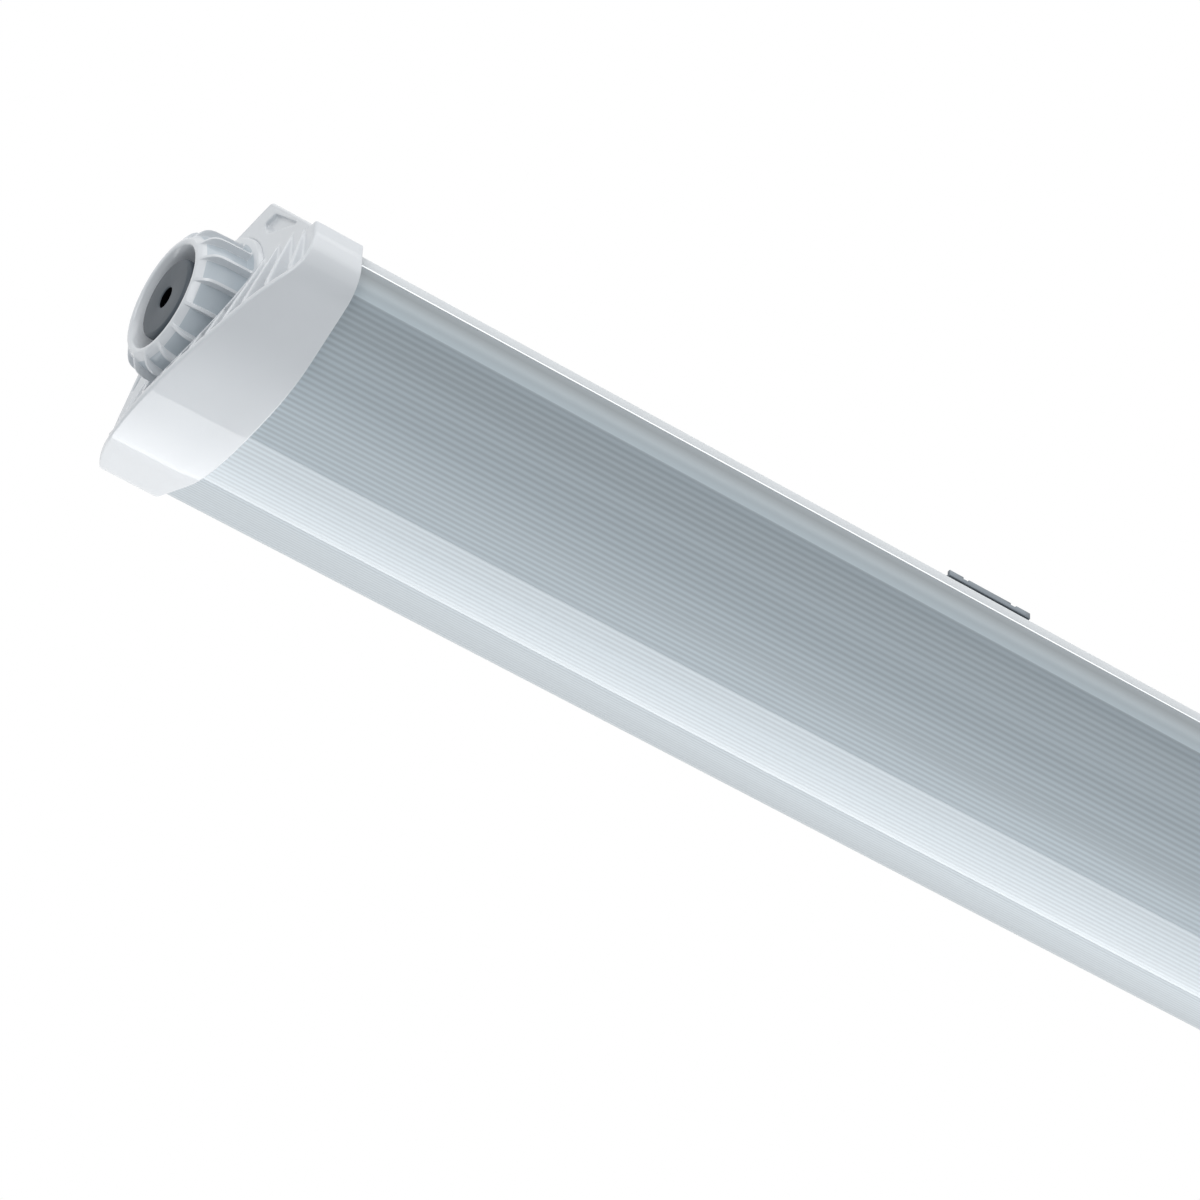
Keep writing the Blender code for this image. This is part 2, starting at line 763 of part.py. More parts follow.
def build_housing(finish):
    """The extruded back: roof, shoulders with a clip groove each, strips, lens slots and tray rails."""
    roof_y, roof_z, _ = section_corners(cap_proud)[0]
    inner_y, inner_z, _ = section_corners(cap_proud + housing_wall)[0]
    groove_roof_y = shoulder_y(cap_proud, groove_top)
    wall_y = groove_y - housing_wall
    wall_top = inner_z - (wall_y - inner_y) * math.tan(shoulder_angle)
    floor = strip_top - housing_wall
    rail_top = floor + rail_thickness
    keeper = rail_top + rail_slot
    hook_foot = slot_top - slot_hook_height
    skirt_y = strip_half_width - skirt_width
    skirt_top = strip_bottom + skirt_height
    right = [
        (roof_y, roof_z),
        (groove_roof_y, seam_z + groove_top),
        (groove_y, seam_z + groove_top),
        (groove_y, seam_z + strip_top),
        (strip_half_width - strip_chamfer, seam_z + strip_top),
        (strip_half_width, seam_z + strip_top - strip_chamfer),
        (strip_half_width, seam_z + strip_bottom),
        (skirt_y, seam_z + strip_bottom),
        (skirt_y, seam_z + skirt_top),
        (slot_outer_y, seam_z + skirt_top),
        (slot_outer_y, seam_z + slot_top),
        (slot_inner_y - slot_hook, seam_z + slot_top),
        (slot_inner_y - slot_hook, seam_z + hook_foot),
        (slot_inner_y, seam_z + hook_foot),
        (slot_inner_y, seam_z + lip_bottom),
        (lip_y, seam_z + lip_bottom),
        (lip_y, seam_z + floor),
        (rail_y, seam_z + floor),
        (rail_y, seam_z + rail_top),
        (wall_y, seam_z + rail_top),
        (wall_y, seam_z + keeper),
        (rail_keeper_y, seam_z + keeper),
        (rail_keeper_y, seam_z + keeper + rail_keeper),
        (wall_y, seam_z + keeper + rail_keeper),
        (wall_y, wall_top),
        (inner_y, inner_z),
    ]
    make_object("housing", prism("housing", mirrored(right), -body_half, body_half), finish)


def at_length(path, distance):
    """Point and outward direction at a distance along a path that runs down and inwards."""
    for start, end in zip(path, path[1:]):
        step = Vector(end) - Vector(start)
        if distance <= step.length or end == path[-1]:
            along = step.normalized()
            return Vector(start) + along * distance, Vector((-along.y, along.x))
        distance -= step.length
    return Vector(path[-1]), Vector((0.0, -1.0))


def ribbed_path(start_z):
    """The lens's outside from its top edge to the middle: a smooth side, then shallow ribs."""
    plain = lower_path(cap_proud, start_z)
    length = sum((Vector(b) - Vector(a)).length for a, b in zip(plain, plain[1:]))
    ribbed_from = length - rib_pitch * (ribs_each_side - 0.5)
    path = [point for point in plain[:1]]
    travelled = 0.0
    for start, end in zip(plain, plain[1:]):
        travelled += (Vector(end) - Vector(start)).length
        if travelled < ribbed_from:
            path.append(end)
    for half_rib in range(2 * ribs_each_side - 1):
        point, outward = at_length(plain, ribbed_from + rib_pitch / 2 * half_rib)
        valley = half_rib % 2
        path.append(tuple(point - outward * (rib_depth * valley)))
    return path


def build_lens(finish):
    """The extruded lens: a tongue with a hook on each side that hangs in the housing's slots."""
    top = seam_z + strip_bottom - running_gap
    step_y = strip_half_width - skirt_width - running_gap
    step_z = seam_z + strip_bottom + skirt_height - running_gap
    tongue_outer = slot_outer_y - running_gap
    tongue_inner = slot_inner_y + running_gap
    hook_top = seam_z + slot_top - running_gap
    hook_foot = hook_top - slot_hook_height + 2 * running_gap
    right = [
        (tongue_inner, top - lens_shoulder),
        (tongue_inner, hook_foot),
        (tongue_inner - slot_hook, hook_foot),
        (tongue_inner - slot_hook, hook_top),
        (tongue_outer, hook_top),
        (tongue_outer, step_z),
        (step_y, step_z),
        (step_y, top),
    ]
    outer = ribbed_path(top)
    inner = lower_path(cap_proud + lens_wall, top - lens_shoulder)
    outline = mirrored(right + outer)
    outline += [(-y, z) for y, z in inner[:-1]]
    outline += list(reversed(inner))
    lens = make_object("lens", prism("lens", outline, -body_half, body_half), finish)
    smooth(lens, 50.0)


def build_ceiling_clip(name, x, finish):
    """Bent steel clip: its hooks sit in the housing's grooves, and its lips are prised to release it."""
    web = -clip_sheet / 2
    wall_y = shoulder_y(cap_proud, 0.0)
    away = (running_gap + clip_sheet / 2) / math.sin(shoulder_angle)
    web_y = wall_y + away - (web - seam_z) / math.tan(shoulder_angle)
    knee_z = seam_z + (wall_y + away - clip_leg_y) * math.tan(shoulder_angle)
    hook_z = seam_z + groove_top - running_gap - clip_sheet / 2
    sole_z = seam_z + strip_top + running_gap + clip_sheet / 2
    right = [
        (0.0, web),
        (web_y, web),
        (clip_leg_y, knee_z),
        (clip_leg_y, hook_z),
        (clip_hook_y, hook_z),
        (clip_hook_y, sole_z),
        (clip_lip_y, sole_z),
        (clip_lip_y, seam_z + clip_lip_top),
    ]
    path = [(-y, z) for y, z in reversed(right[1:])] + right[1:]
    half = clip_length / 2
    mesh = prism(name, sheet_outline(path, clip_sheet), -half, half)
    clip = make_object(name, mesh, finish)
    cutters = [clip_slot_cutter()]
    notch_floor = seam_z + clip_lip_top - clip_notch_depth
    for side in (-1, 1):
        y = side * clip_lip_y
        for along in (-1, 1):
            middle = along * clip_notch_x
            low = (middle - clip_notch_width / 2, y - clip_sheet, notch_floor)
            high = (middle + clip_notch_width / 2, y + clip_sheet, notch_floor + overrun)
            cutters.append(block("notch", low, high))
    cut(clip, *cutters)
    clip.location = (x, 0.0, 0.0)


def clip_slot_cutter():
    """A round-ended slot along X, through the clip's web."""
    radius = clip_slot_width / 2
    straight = clip_slot_length / 2 - radius
    outline = []
    steps = 2 * arc_steps
    for end in (1, -1):
        for step in range(steps + 1):
            angle = math.pi * (step / steps - 0.5)
            outline.append((end * (straight + radius * math.cos(angle)), end * radius * math.sin(angle)))
    rings = [[(x, y, z) for x, y in outline] for z in (-clip_sheet - overrun, overrun)]
    return loft("slot", rings)


def screw(name, finish, sizes, shank_length, at, direction="DOWN"):
    """A pan-head screw with a cross recess. Its head's seat is at the given place."""
    head_r, head_height, shank_r = sizes
    profile = [
        (-shank_length, shank_r),
        (0.0, shank_r),
        (0.0, head_r),
        (head_height * head_edge, head_r),
        (head_height, head_r * head_land),
    ]
    made = make_object(name, solid_along_x(name, profile, screw_sides), finish)
    deep = head_height - cross_depth
    reach = head_r / 2
    bars = []
    for across, tall in ((reach, cross_width / 2), (cross_width / 2, reach)):
        bars.append(block("bar", (deep, -across, -tall), (head_height + overrun, across, tall)))
    cut(made, *bars)
    smooth(made)
    turns = {
        "DOWN": Matrix.Rotation(-math.pi / 2, 4, "Y"),
        "UP": Matrix.Rotation(math.pi / 2, 4, "Y"),
        "ALONG": Matrix.Identity(4),
    }
    made.data.transform(turns[direction])
    made.location = at
    return made


def tray_screw(name, finish, seat_z):
    """A screw whose shank ends flush with the underside of the tray."""
    x, y = tray_screw_places()[name]
    screw(name, finish, screw_m3, seat_z - seam_z - tray_floor, (x, y, seat_z))


def screw_hole(sizes, at, depth):
    """A vertical clearance hole for a screw, centred on a place and half its depth each way."""
    radius = sizes[2] + screw_clearance
    return upright("screw_hole", [(-depth / 2, radius), (depth / 2, radius)], screw_sides, at)


def board_length():
    """Each board's length: two of them fill the tray, end to end."""
    return (tray_end_x() - tray_start_x() - board_gap) / 2 - board_end_gap


def board_centres():
    """Name, middle and outward side of each LED board."""
    middle = tray_start_x() + (tray_end_x() - tray_start_x()) / 2
    step = (board_length() + board_gap) / 2
    for row, side in (("near", -1), ("far", 1)):
        for number, along in ((1, -1), (2, 1)):
            yield f"led_board_{row}_{number}", middle + along * step, side * board_y


def tray_start_x():
    return -cap_rear_x - boss_end + running_gap


def tray_end_x():
    return body_half - tray_far_gap


def board_screw_places():
    """Name, x and y of each board screw, which goes up between the board's first two LEDs."""
    reach = board_length() * (0.5 - board_screw_pitch_share / leds_per_board)
    for name, x, y in board_centres():
        for number, along in ((1, -1), (2, 1)):
            yield f"{name}_screw_{number}", x + along * reach, y


def from_end(distance):
    """X of a place at a distance from the cable end of the extrusion."""
    return -body_half + distance


def lead_hole_x():
    return from_end(driver_from_end + driver_length + driver_ear + 3 * tray_lead_hole_r)


def build_tray(finish):
    """The sheet-steel gear tray: a channel with rims that run on the housing's rails."""
    floor = seam_z + tray_floor
    rim = seam_z + tray_rim
    rim_y = groove_y - housing_wall - running_gap
    right = [
        (tray_wall_y - tray_sheet, floor + tray_sheet),
        (tray_wall_y - tray_sheet, rim + tray_sheet),
        (rim_y, rim + tray_sheet),
        (rim_y, rim),
        (tray_wall_y, rim),
        (tray_wall_y, floor),
    ]
    mesh = prism("gear_tray", mirrored(right), tray_start_x(), tray_end_x())
    tray = make_object("gear_tray", mesh, finish)
    start = tray_start_x()
    ears = []
    for side in (-1, 1):
        inner = side * (boss_y - tray_ear_half)
        outer = side * (boss_y + tray_ear_half)
        low = (start, min(inner, outer), floor + tray_sheet / 2)
        high = (start + tray_sheet, max(inner, outer), seam_z + tray_ear_top)
        ears.append(block("ear", low, high))
    join(tray, *ears)
    holes = []
    hole_r = screw_m3[2] + screw_clearance
    for side in (-1, 1):
        profile = [(start - overrun, hole_r), (start + tray_sheet + overrun, hole_r)]
        holes.append(solid_along_x("ear_hole", profile, screw_sides, gland_z, side * boss_y))
    middle = floor + tray_sheet / 2
    depth = tray_sheet + overrun
    for _, x, y in board_screw_places():
        holes.append(screw_hole(screw_m3, (x, y, middle), depth))
    for x, y in tray_screw_places().values():
        holes.append(screw_hole(screw_m3, (x, y, middle), depth))
    lead_hole = [(-depth / 2, tray_lead_hole_r), (depth / 2, tray_lead_hole_r)]
    holes.append(upright("lead_hole", lead_hole, screw_sides, (lead_hole_x(), 0.0, middle)))
    cut(tray, *holes)


def tray_screw_places():
    """Where each screw that holds something down on the tray goes through its floor."""
    driver_x = from_end(driver_from_end)
    terminal_x = from_end(terminal_from_end)
    clamp_x = from_end(clamp_from_end)
    return {
        "driver_screw_1": (driver_x - driver_ear / 2, 0.0),
        "driver_screw_2": (driver_x + driver_length + driver_ear / 2, 0.0),
        "cable_clamp_screw_1": (clamp_x, -clamp_screw_y),
        "cable_clamp_screw_2": (clamp_x, clamp_screw_y),
        "earth_screw": (terminal_x + terminal_length / 2 + earth_from_terminal, earth_y),
    }


def build_led_boards(board_finish, screw_finish):
    """White boards screwed up under the tray, with their LEDs facing down."""
    top = seam_z + tray_floor - running_gap
    bottom = top - board_thickness
    for name, x, y in board_centres():
        low = (x - board_length() / 2, y - board_width / 2, bottom)
        high = (x + board_length() / 2, y + board_width / 2, top)
        board = make_object(name, block(name, low, high), board_finish)
        pitch = board_length() / leds_per_board
        bumps = []
        for i in range(leds_per_board):
            middle = x - board_length() / 2 + pitch * (i + 0.5)
            low = (middle - led_length / 2, y - led_width / 2, bottom - led_height)
            high = (middle + led_length / 2, y + led_width / 2, bottom + board_thickness / 2)
            bumps.append(block("led", low, high))
        join(board, joined_mesh(bumps))
        holes = []
        for screw_name, screw_x, screw_y in board_screw_places():
            if screw_name.startswith(name):
                place = (screw_x, screw_y, (top + bottom) / 2)
                holes.append(screw_hole(screw_m3, place, board_thickness + overrun))
                seat = (screw_x, screw_y, bottom - running_gap)
                length = seam_z + tray_top - seat[2]
                screw(screw_name, screw_finish, screw_m3, length, seat, "UP")
        cut(board, *holes)


def joined_mesh(meshes):
    """One mesh holding several bodies that don't touch, for a single cut or union."""
    points = []
    faces = []
    for mesh in meshes:
        base = len(points)
        points += [tuple(vertex.co) for vertex in mesh.vertices]
        faces += [tuple(base + i for i in face.vertices) for face in mesh.polygons]
    return mesh_from("joined", points, faces)


def build_board_links(finish):
    """A small plug-in bridge under the joint between the two boards of each row."""
    bottom = seam_z + tray_floor - running_gap - board_thickness
    middle = (tray_start_x() + tray_end_x()) / 2
    for row, side in (("near", -1), ("far", 1)):
        low_z = bottom - running_gap - link_height
        low = (middle - link_length / 2, side * board_y - link_width / 2, low_z)
        high = (middle + link_length / 2, side * board_y + link_width / 2, bottom - running_gap)
        link = make_object(f"board_link_{row}", block("link", low, high), finish)
        edge = link.modifiers.new("bevel", "BEVEL")
        edge.width = running_gap
        edge.segments = 1


def build_driver(finish, screw_finish):
    """The LED driver: a closed steel case with a screw ear at each end."""
    base = seam_z + tray_top + running_gap
    start = from_end(driver_from_end)
    half = driver_width / 2
    corners = [
        (half, base, running_gap),
        (half, base + driver_height, 2 * running_gap),
        (-half, base + driver_height, 2 * running_gap),
        (-half, base, running_gap),
    ]
    mesh = prism("led_driver", rounded(corners), start, start + driver_length)
    driver = make_object("led_driver", mesh, finish)
    low = (start - driver_ear, -half / 2, base)
    high = (start + driver_length + driver_ear, half / 2, base + driver_ear_thickness)
    join(driver, block("ears", low, high))
    holes = []
    for name in ("driver_screw_1", "driver_screw_2"):
        x, y = tray_screw_places()[name]
        seat = base + driver_ear_thickness
        holes.append(screw_hole(screw_m3, (x, y, seat), 2 * driver_ear_thickness + overrun))
        tray_screw(name, screw_finish, seat + running_gap)
    cut(driver, *holes)


def build_cable_clamp(finish, screw_finish):
    """A nylon saddle that holds the cable down on the tray behind the gland."""
    base = seam_z + tray_top + running_gap
    foot = base + clamp_thickness
    x = from_end(clamp_from_end)
    outer_span = clamp_span + clamp_thickness
    right = [
        (clamp_span, base),
        (clamp_foot_y, base),
        (clamp_foot_y, foot),
        (outer_span, foot),
        (outer_span, base + clamp_rise - clamp_thickness),
        (clamp_span, base + clamp_rise),
    ]
    inside = [
        (-clamp_span / 2, base + clamp_rise - clamp_thickness),
        (clamp_span / 2, base + clamp_rise - clamp_thickness),
        (clamp_span, base + clamp_rise - 2 * clamp_thickness),
    ]
    outline = right[1:] + [(-y, z) for y, z in reversed(right)]
    outline += [(-clamp_span, base + clamp_rise - 2 * clamp_thickness)] + inside + [right[0]]
    half = clamp_length / 2
    clamp = make_object("cable_clamp", prism("cable_clamp", outline, x - half, x + half), finish)
    holes = []
    for name in ("cable_clamp_screw_1", "cable_clamp_screw_2"):
        screw_x, screw_y = tray_screw_places()[name]
        depth = 2 * clamp_thickness + overrun
        holes.append(screw_hole(screw_m3, (screw_x, screw_y, foot), depth))
        tray_screw(name, screw_finish, foot + running_gap)
    cut(clamp, *holes)


def terminal_pole_ys():
    return [terminal_pitch * (i - (terminal_poles - 1) / 2) for i in range(terminal_poles)]


def build_terminal_block(finish, screw_finish):
    """The mains terminal block, with a wire hole at each end of each pole and its screws on top."""
    base = seam_z + tray_top + running_gap
    x = from_end(terminal_from_end)
    half = terminal_length / 2
    top = base + terminal_height
    low = (x - half, -terminal_width / 2, base)
    high = (x + half, terminal_width / 2, top)
    terminal = make_object("terminal_block", block("terminal_block", low, high), finish)
    cutters = []
    height = base + terminal_hole_height
    for number, y in enumerate(terminal_pole_ys(), 1):
        for end in (-1, 1):
            face = x + end * half
            profile = [(face - end * terminal_hole_depth, terminal_hole_r)]
            profile.append((face + end * overrun, terminal_hole_r))
            cutters.append(solid_along_x("wire_hole", profile, screw_sides, height, y))
        well = [(-terminal_well_depth, terminal_well_r), (overrun, terminal_well_r)]
        cutters.append(upright("well", well, screw_sides, (x, y, top)))
        seat = (x, y, top - terminal_well_depth + running_gap + terminal_screw_length)
        name = f"terminal_screw_{number}"
        screw(name, screw_finish, screw_terminal, terminal_screw_length, seat)
    cut(terminal, *cutters)


def smooth_route(points):
    """A curve through a few points, read off at an even number of places."""
    route = []
    knots = [Vector(p) for p in points]
    knots = [2 * knots[0] - knots[1]] + knots + [2 * knots[-1] - knots[-2]]
    spans = len(points) - 1
    for i in range(wire_points + 1):
        place = i / wire_points * spans
        span = min(int(place), spans - 1)
        t = place - span
        a, b, c, d = knots[span : span + 4]
        route.append(
            0.5
            * (
                2 * b
                + (c - a) * t
                + (2 * a - 5 * b + 4 * c - d) * t**2
                + (3 * b - a - 3 * c + d) * t**3
            )
        )
    return route


def wire(name, finish, radius, points):
    """An insulated wire: a round tube along a smooth route."""
    line = bpy.data.curves.new(name, "CURVE")
    line.dimensions = "3D"
    line.bevel_depth = radius
    line.bevel_resolution = 1
    line.use_fill_caps = True
    route = smooth_route(points)
    spline = line.splines.new("POLY")
    spline.points.add(len(route) - 1)
    for place, point in zip(spline.points, route):
        place.co = (*point, 1.0)
    obj = bpy.data.objects.new(name, line)
    bpy.context.scene.collection.objects.link(obj)
    line.materials.append(finish)


def build_wiring(finishes):
    """Wires from the terminal block to the driver and the earth lug, and from the driver to the boards."""
    base = seam_z + tray_top + running_gap
    face = from_end(terminal_from_end) + terminal_length / 2 + running_gap
    driver_face = from_end(driver_from_end) - running_gap
    wire_z = base + terminal_hole_height
    driver_z = base + driver_lead_height
    reach = driver_face - face
    live_y, neutral_y, earth_pole_y = terminal_pole_ys()
    for name, y, side in (("live_wire", live_y, -1), ("neutral_wire", neutral_y, 1)):
        end_y = side * driver_lead_y
        points = [
            (face, y, wire_z),
            (face + reach / 3, y, wire_z),
            (face + reach * 2 / 3, end_y, driver_z),
            (driver_face, end_y, driver_z),
        ]
        wire(name, finishes[name], wire_r, points)
    earth_x, lug_y = tray_screw_places()["earth_screw"]
    lug_top = base + lug_thickness
    end_z = base + wire_r
    points = [
        (face, earth_pole_y, wire_z),
        (face + reach / 6, earth_pole_y, wire_z),
        (earth_x - 3 * lug_r, (earth_pole_y + lug_y) / 2, (wire_z + end_z) / 2),
        (earth_x - 2 * lug_r, lug_y - lug_r / 3, end_z),
        (earth_x - lug_r - running_gap, lug_y, end_z),
    ]
    wire("earth_wire", finishes["earth_wire"], wire_r, points)
    lug_profile = [(0.0, lug_r), (lug_thickness, lug_r)]
    lug_mesh = upright("earth_lug", lug_profile, screw_sides, (earth_x, lug_y, base))
    lug = make_object("earth_lug", lug_mesh, finishes["steel"])
    cut(lug, screw_hole(screw_m3, (earth_x, lug_y, base), 2 * lug_thickness + overrun))
    tray_screw("earth_screw", finishes["steel"], lug_top + running_gap)
    build_led_leads(finishes, driver_z)


def build_led_leads(finishes, driver_z):
    """Leads from the driver's far end down through the tray to the inner edge of the first boards."""
    start = from_end(driver_from_end + driver_length) + 2 * running_gap
    hole_x = lead_hole_x()
    floor = seam_z + tray_floor
    board_edge = board_y - board_width / 2 - running_gap
    for row, side in (("near", -1), ("far", 1)):
        y = side * (led_lead_r + 2 * running_gap)
        under = floor - 2 * led_lead_r
        points = [
            (start, side * driver_lead_y, driver_z),
            (start + driver_ear / 2, side * driver_lead_y, driver_z),
            (hole_x, y, floor + 3 * led_lead_r),
            (hole_x, y, floor - led_lead_r / 3),
            (hole_x, side * (board_edge + y * side) / 2, under),
            (hole_x, side * board_edge, under),
        ]
        wire(f"led_lead_{row}", finishes["led_lead"], led_lead_r, points)


def main():
    clear_scene()
    white = material("white_plastic", (0.86, 0.87, 0.88), 0.28)
    frosted = material("frosted_lens", (0.74, 0.78, 0.81), 0.3, alpha=1.0, transmission=0.2)
    rubber = material("dark_rubber", (0.12, 0.14, 0.15), 0.6)
    foam = material("grey_gasket", (0.35, 0.35, 0.36), 0.8)
    nylon = material("natural_nylon", (0.83, 0.83, 0.80), 0.45)
    steel = material("stainless_steel", (0.62, 0.63, 0.64), 0.28, metallic=1.0)
    plated = material("plated_steel", (0.70, 0.70, 0.68), 0.35, metallic=1.0)
    tray_white = material("white_painted_steel", (0.88, 0.88, 0.88), 0.4)
    board_white = material("white_board", (0.90, 0.90, 0.88), 0.5)
    case_grey = material("driver_case", (0.55, 0.57, 0.60), 0.4, metallic=0.6)
    finishes = {
        "live_wire": material("brown_insulation", (0.20, 0.09, 0.04), 0.4),
        "neutral_wire": material("blue_insulation", (0.05, 0.16, 0.45), 0.4),
        "earth_wire": material("green_insulation", (0.20, 0.45, 0.08), 0.4),
        "led_lead": material("white_insulation", (0.85, 0.85, 0.85), 0.4),
        "steel": plated,
    }
    build_housing(white)
    build_lens(frosted)
    clip_x = cap_rear_x - clip_from_cap - clip_length / 2
    build_ceiling_clip("ceiling_clip_a", -clip_x, steel)
    build_ceiling_clip("ceiling_clip_b", clip_x, steel)
    place_end_pieces("end_cap", build_end_cap(), white)
    place_end_pieces("gland_nut", build_gland_nut(), white)
    place_end_pieces("slip_ring", build_slip_ring(), nylon)
    place_end_pieces("end_gasket", build_end_gasket(), foam)
    grommet = build_grommet()
    grommet.name = "grommet"
    grommet.location = (-cap_rear_x, 0.0, 0.0)
    grommet.rotation_euler = (0.0, 0.0, math.pi)
    plug = build_blind_plug()
    plug.location = (cap_rear_x, 0.0, 0.0)
    for rubber_piece in (grommet, plug):
        rubber_piece.data.materials.append(rubber)
        smooth(rubber_piece)
    build_tray(tray_white)
    for side, number in ((-1, 1), (1, 2)):
        seat = (tray_start_x() + tray_sheet + running_gap, side * boss_y, gland_z)
        name = f"tray_end_screw_{number}"
        screw(name, plated, screw_m3, end_screw_length, seat, "ALONG")
    build_led_boards(board_white, plated)
    build_board_links(nylon)
    build_driver(case_grey, plated)
    build_cable_clamp(nylon, plated)
    build_terminal_block(nylon, plated)
    build_wiring(finishes)


main()
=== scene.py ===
"""Looks of a vapor tight light fixture.

A ribbed lens hangs under a flat housing, with a gland cap at each end and steel clips.
"""

import json
import math

import bmesh
import bpy
import numpy as np
from mathutils import Matrix, Vector


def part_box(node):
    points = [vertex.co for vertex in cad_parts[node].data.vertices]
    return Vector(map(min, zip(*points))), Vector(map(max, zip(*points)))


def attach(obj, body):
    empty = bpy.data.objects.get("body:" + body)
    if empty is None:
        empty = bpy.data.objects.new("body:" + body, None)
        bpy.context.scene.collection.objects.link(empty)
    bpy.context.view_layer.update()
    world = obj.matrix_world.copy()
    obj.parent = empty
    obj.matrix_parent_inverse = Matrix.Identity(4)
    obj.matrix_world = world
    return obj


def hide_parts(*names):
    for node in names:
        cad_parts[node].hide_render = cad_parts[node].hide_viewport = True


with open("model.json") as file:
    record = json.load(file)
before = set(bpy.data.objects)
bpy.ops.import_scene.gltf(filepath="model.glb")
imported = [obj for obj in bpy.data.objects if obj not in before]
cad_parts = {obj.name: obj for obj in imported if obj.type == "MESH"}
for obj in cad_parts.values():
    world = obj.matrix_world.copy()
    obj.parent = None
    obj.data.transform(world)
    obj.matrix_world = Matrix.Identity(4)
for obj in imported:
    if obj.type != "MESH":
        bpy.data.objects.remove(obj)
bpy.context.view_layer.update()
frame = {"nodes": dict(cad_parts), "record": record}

# Lengths are in metres; the angles whose names hold sharp, bevel or dissolve are in degrees
MM = 0.001
FULL_TURN = 2 * math.pi

# Sizes shared with the solids
cap_rear_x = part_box("end_cap_b")[0][0]
cap_half_width = 50.0 * MM
cap_rise = 31.8 * MM
cap_depth = 27.6 * MM
shoulder_run = 24.8 * MM
shoulder_angle = math.radians(50.4)
slope_run = 31.1 * MM
slope_angle = math.radians(27.6)
strip_top = 4.1 * MM
strip_bottom = 0.4 * MM
ledge_rise = 0.8 * MM
roof_round = 2.6 * MM
shoulder_round = 1.1 * MM
side_round = 12.0 * MM
cap_proud = 3.0 * MM
lens_drop = 1.5 * MM
drop_begins = 0.4 * MM
drop_ends = -3.5 * MM
seam_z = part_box("end_cap_b")[1][2] - cap_rise
gland_rise = 7.1 * MM
gland_z = seam_z + gland_rise
cap_plate_front = 15.0 * MM
cap_reach = 30.3 * MM
cap_side_reach = 15.8 * MM
cap_skin = 1.8 * MM
visor_top = 11.0 * MM
visor_bulge = 1.05
visor_bow_power = 2.3
visor_droop = 11.75 * MM
visor_droop_power = 7
body_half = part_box("housing")[1][0]
led_height = 0.8 * MM

# Sizes for the looks of the section
keel_angle = math.radians(1.2)
floor_search_rounds = 40
floor_curve_points = 400
floor_kept_points = 60
ledge_round = 0.5 * MM
shoulder_round_share = 0.98
fillet_steps = 10
section_spacing = 1.2 * MM
belt_height = -0.75 * MM
belt_step = 0.24 * MM
belt_run = 0.35 * MM
belt_points = (1.0, 0.75, 0.5, 0.25, 0.0)
belt_fade = 1.5
side_margin = 0.3 * MM

# Sizes for the looks of the caps
socket_depth = 11.0 * MM
socket_inset = 2.75 * MM
socket_chamfer = 0.25 * MM
rear_rim = 0.6 * MM
front_rim = 0.8 * MM
inner_rim = 0.6 * MM
rim_steps = 5
side_stations = (0.25, 0.5, 0.75)
visor_fade = 1.2 * MM
skin_margin = 0.05 * MM
dive_back = 0.08 * MM
dive_in = 0.05 * MM
skin_root = 0.7 * MM
skin_sharp = 55
tuck = 0.55 * MM
tuck_rear = 0.1 * MM
tuck_rim = 0.4 * MM
tuck_front = 0.2 * MM
front_part_from = 12.6 * MM
cap_voxel = 0.25 * MM
cap_soften_share = 0.5
cap_soften_rounds = 4
cap_kept_share = 0.3
weld = 1e-6
cut_weld = 1e-7
solid_sharp = 35

# Sizes for the looks of the lens and the beads
rib_pitch = 1.7 * MM
rib_groove = 0.55 * MM
rib_depth = 0.008 * MM
ribs_each_side = 30
ribbed_run = rib_pitch * (ribs_each_side - 0.5)
lens_wall = 1.8 * MM
lens_gap = 0.3 * MM
smooth_steps = 24
smooth_run = 12.0 * MM
bead_proud = 0.22 * MM
bead_depth = 0.5 * MM
bead_half_height = 0.48 * MM
bead_drop = 0.3 * MM
bead_points = 9
extruded_sharp = 45

# Sizes for the looks of the gland's pieces; shares are of a rib's pitch, counted from the rib's middle
nut_ribs = 16
rib_phases = (0, 0.03, 0.045, 0.052, 0.058, 0.064, 0.07, 0.076, 0.082, 0.088, 0.096, 0.115, 0.2, 0.3, 0.4)
rib_top_share = 0.05
rib_wall_share = 0.042
half_flute_share = 0.4
flute_face_share = 0.11
flute_face_from = 16.3 * MM
flute_face_to = 28.9 * MM
flute_face_above = 20.0 * MM
fluted_from = 0.01 * MM
gland_steps = 96
gland_sharp = 50
pinhole_limit = 3.1 * MM

# Sizes for the edges of the other pieces
bevel_segments = 2
bevel_from = 30
dissolve_under = 0.5
led_margin = 0.02 * MM
board_edge = 0.08 * MM
screw_edge = 0.1 * MM
end_edges = {"ceiling_clip": 0.12 * MM, "slip_ring": 0.15 * MM, "end_gasket": 0.3 * MM}
other_edges = {
    "housing": 0.25 * MM, "gear_tray": 0.15 * MM, "led_driver": 0.6 * MM, "terminal_block": 0.35 * MM,
    "cable_clamp": 0.3 * MM, "earth_lug": 0.1 * MM, "board_link_far": 0.3 * MM, "board_link_near": 0.3 * MM,
}


# Meshes and objects
def new_object(name, mesh, body, material, replaced=()):
    """Puts a finished mesh in the scene, riding on a body."""
    piece = bpy.data.objects.new(name, mesh)
    bpy.context.scene.collection.objects.link(piece)
    mesh.materials.append(material)
    if replaced:
        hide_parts(*replaced)
    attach(piece, body)
    return piece


def mesh_of(name, points, faces, sharp_degrees=None):
    """A smooth mesh from points and faces, with its edges kept sharp above an angle."""
    mesh = bpy.data.meshes.new(name)
    mesh.from_pydata(np.asarray(points, float).reshape(-1, 3).tolist(), [], faces)
    mesh.update()
    mesh.shade_smooth()
    if sharp_degrees:
        mesh.set_sharp_from_angle(angle=math.radians(sharp_degrees))
    return mesh


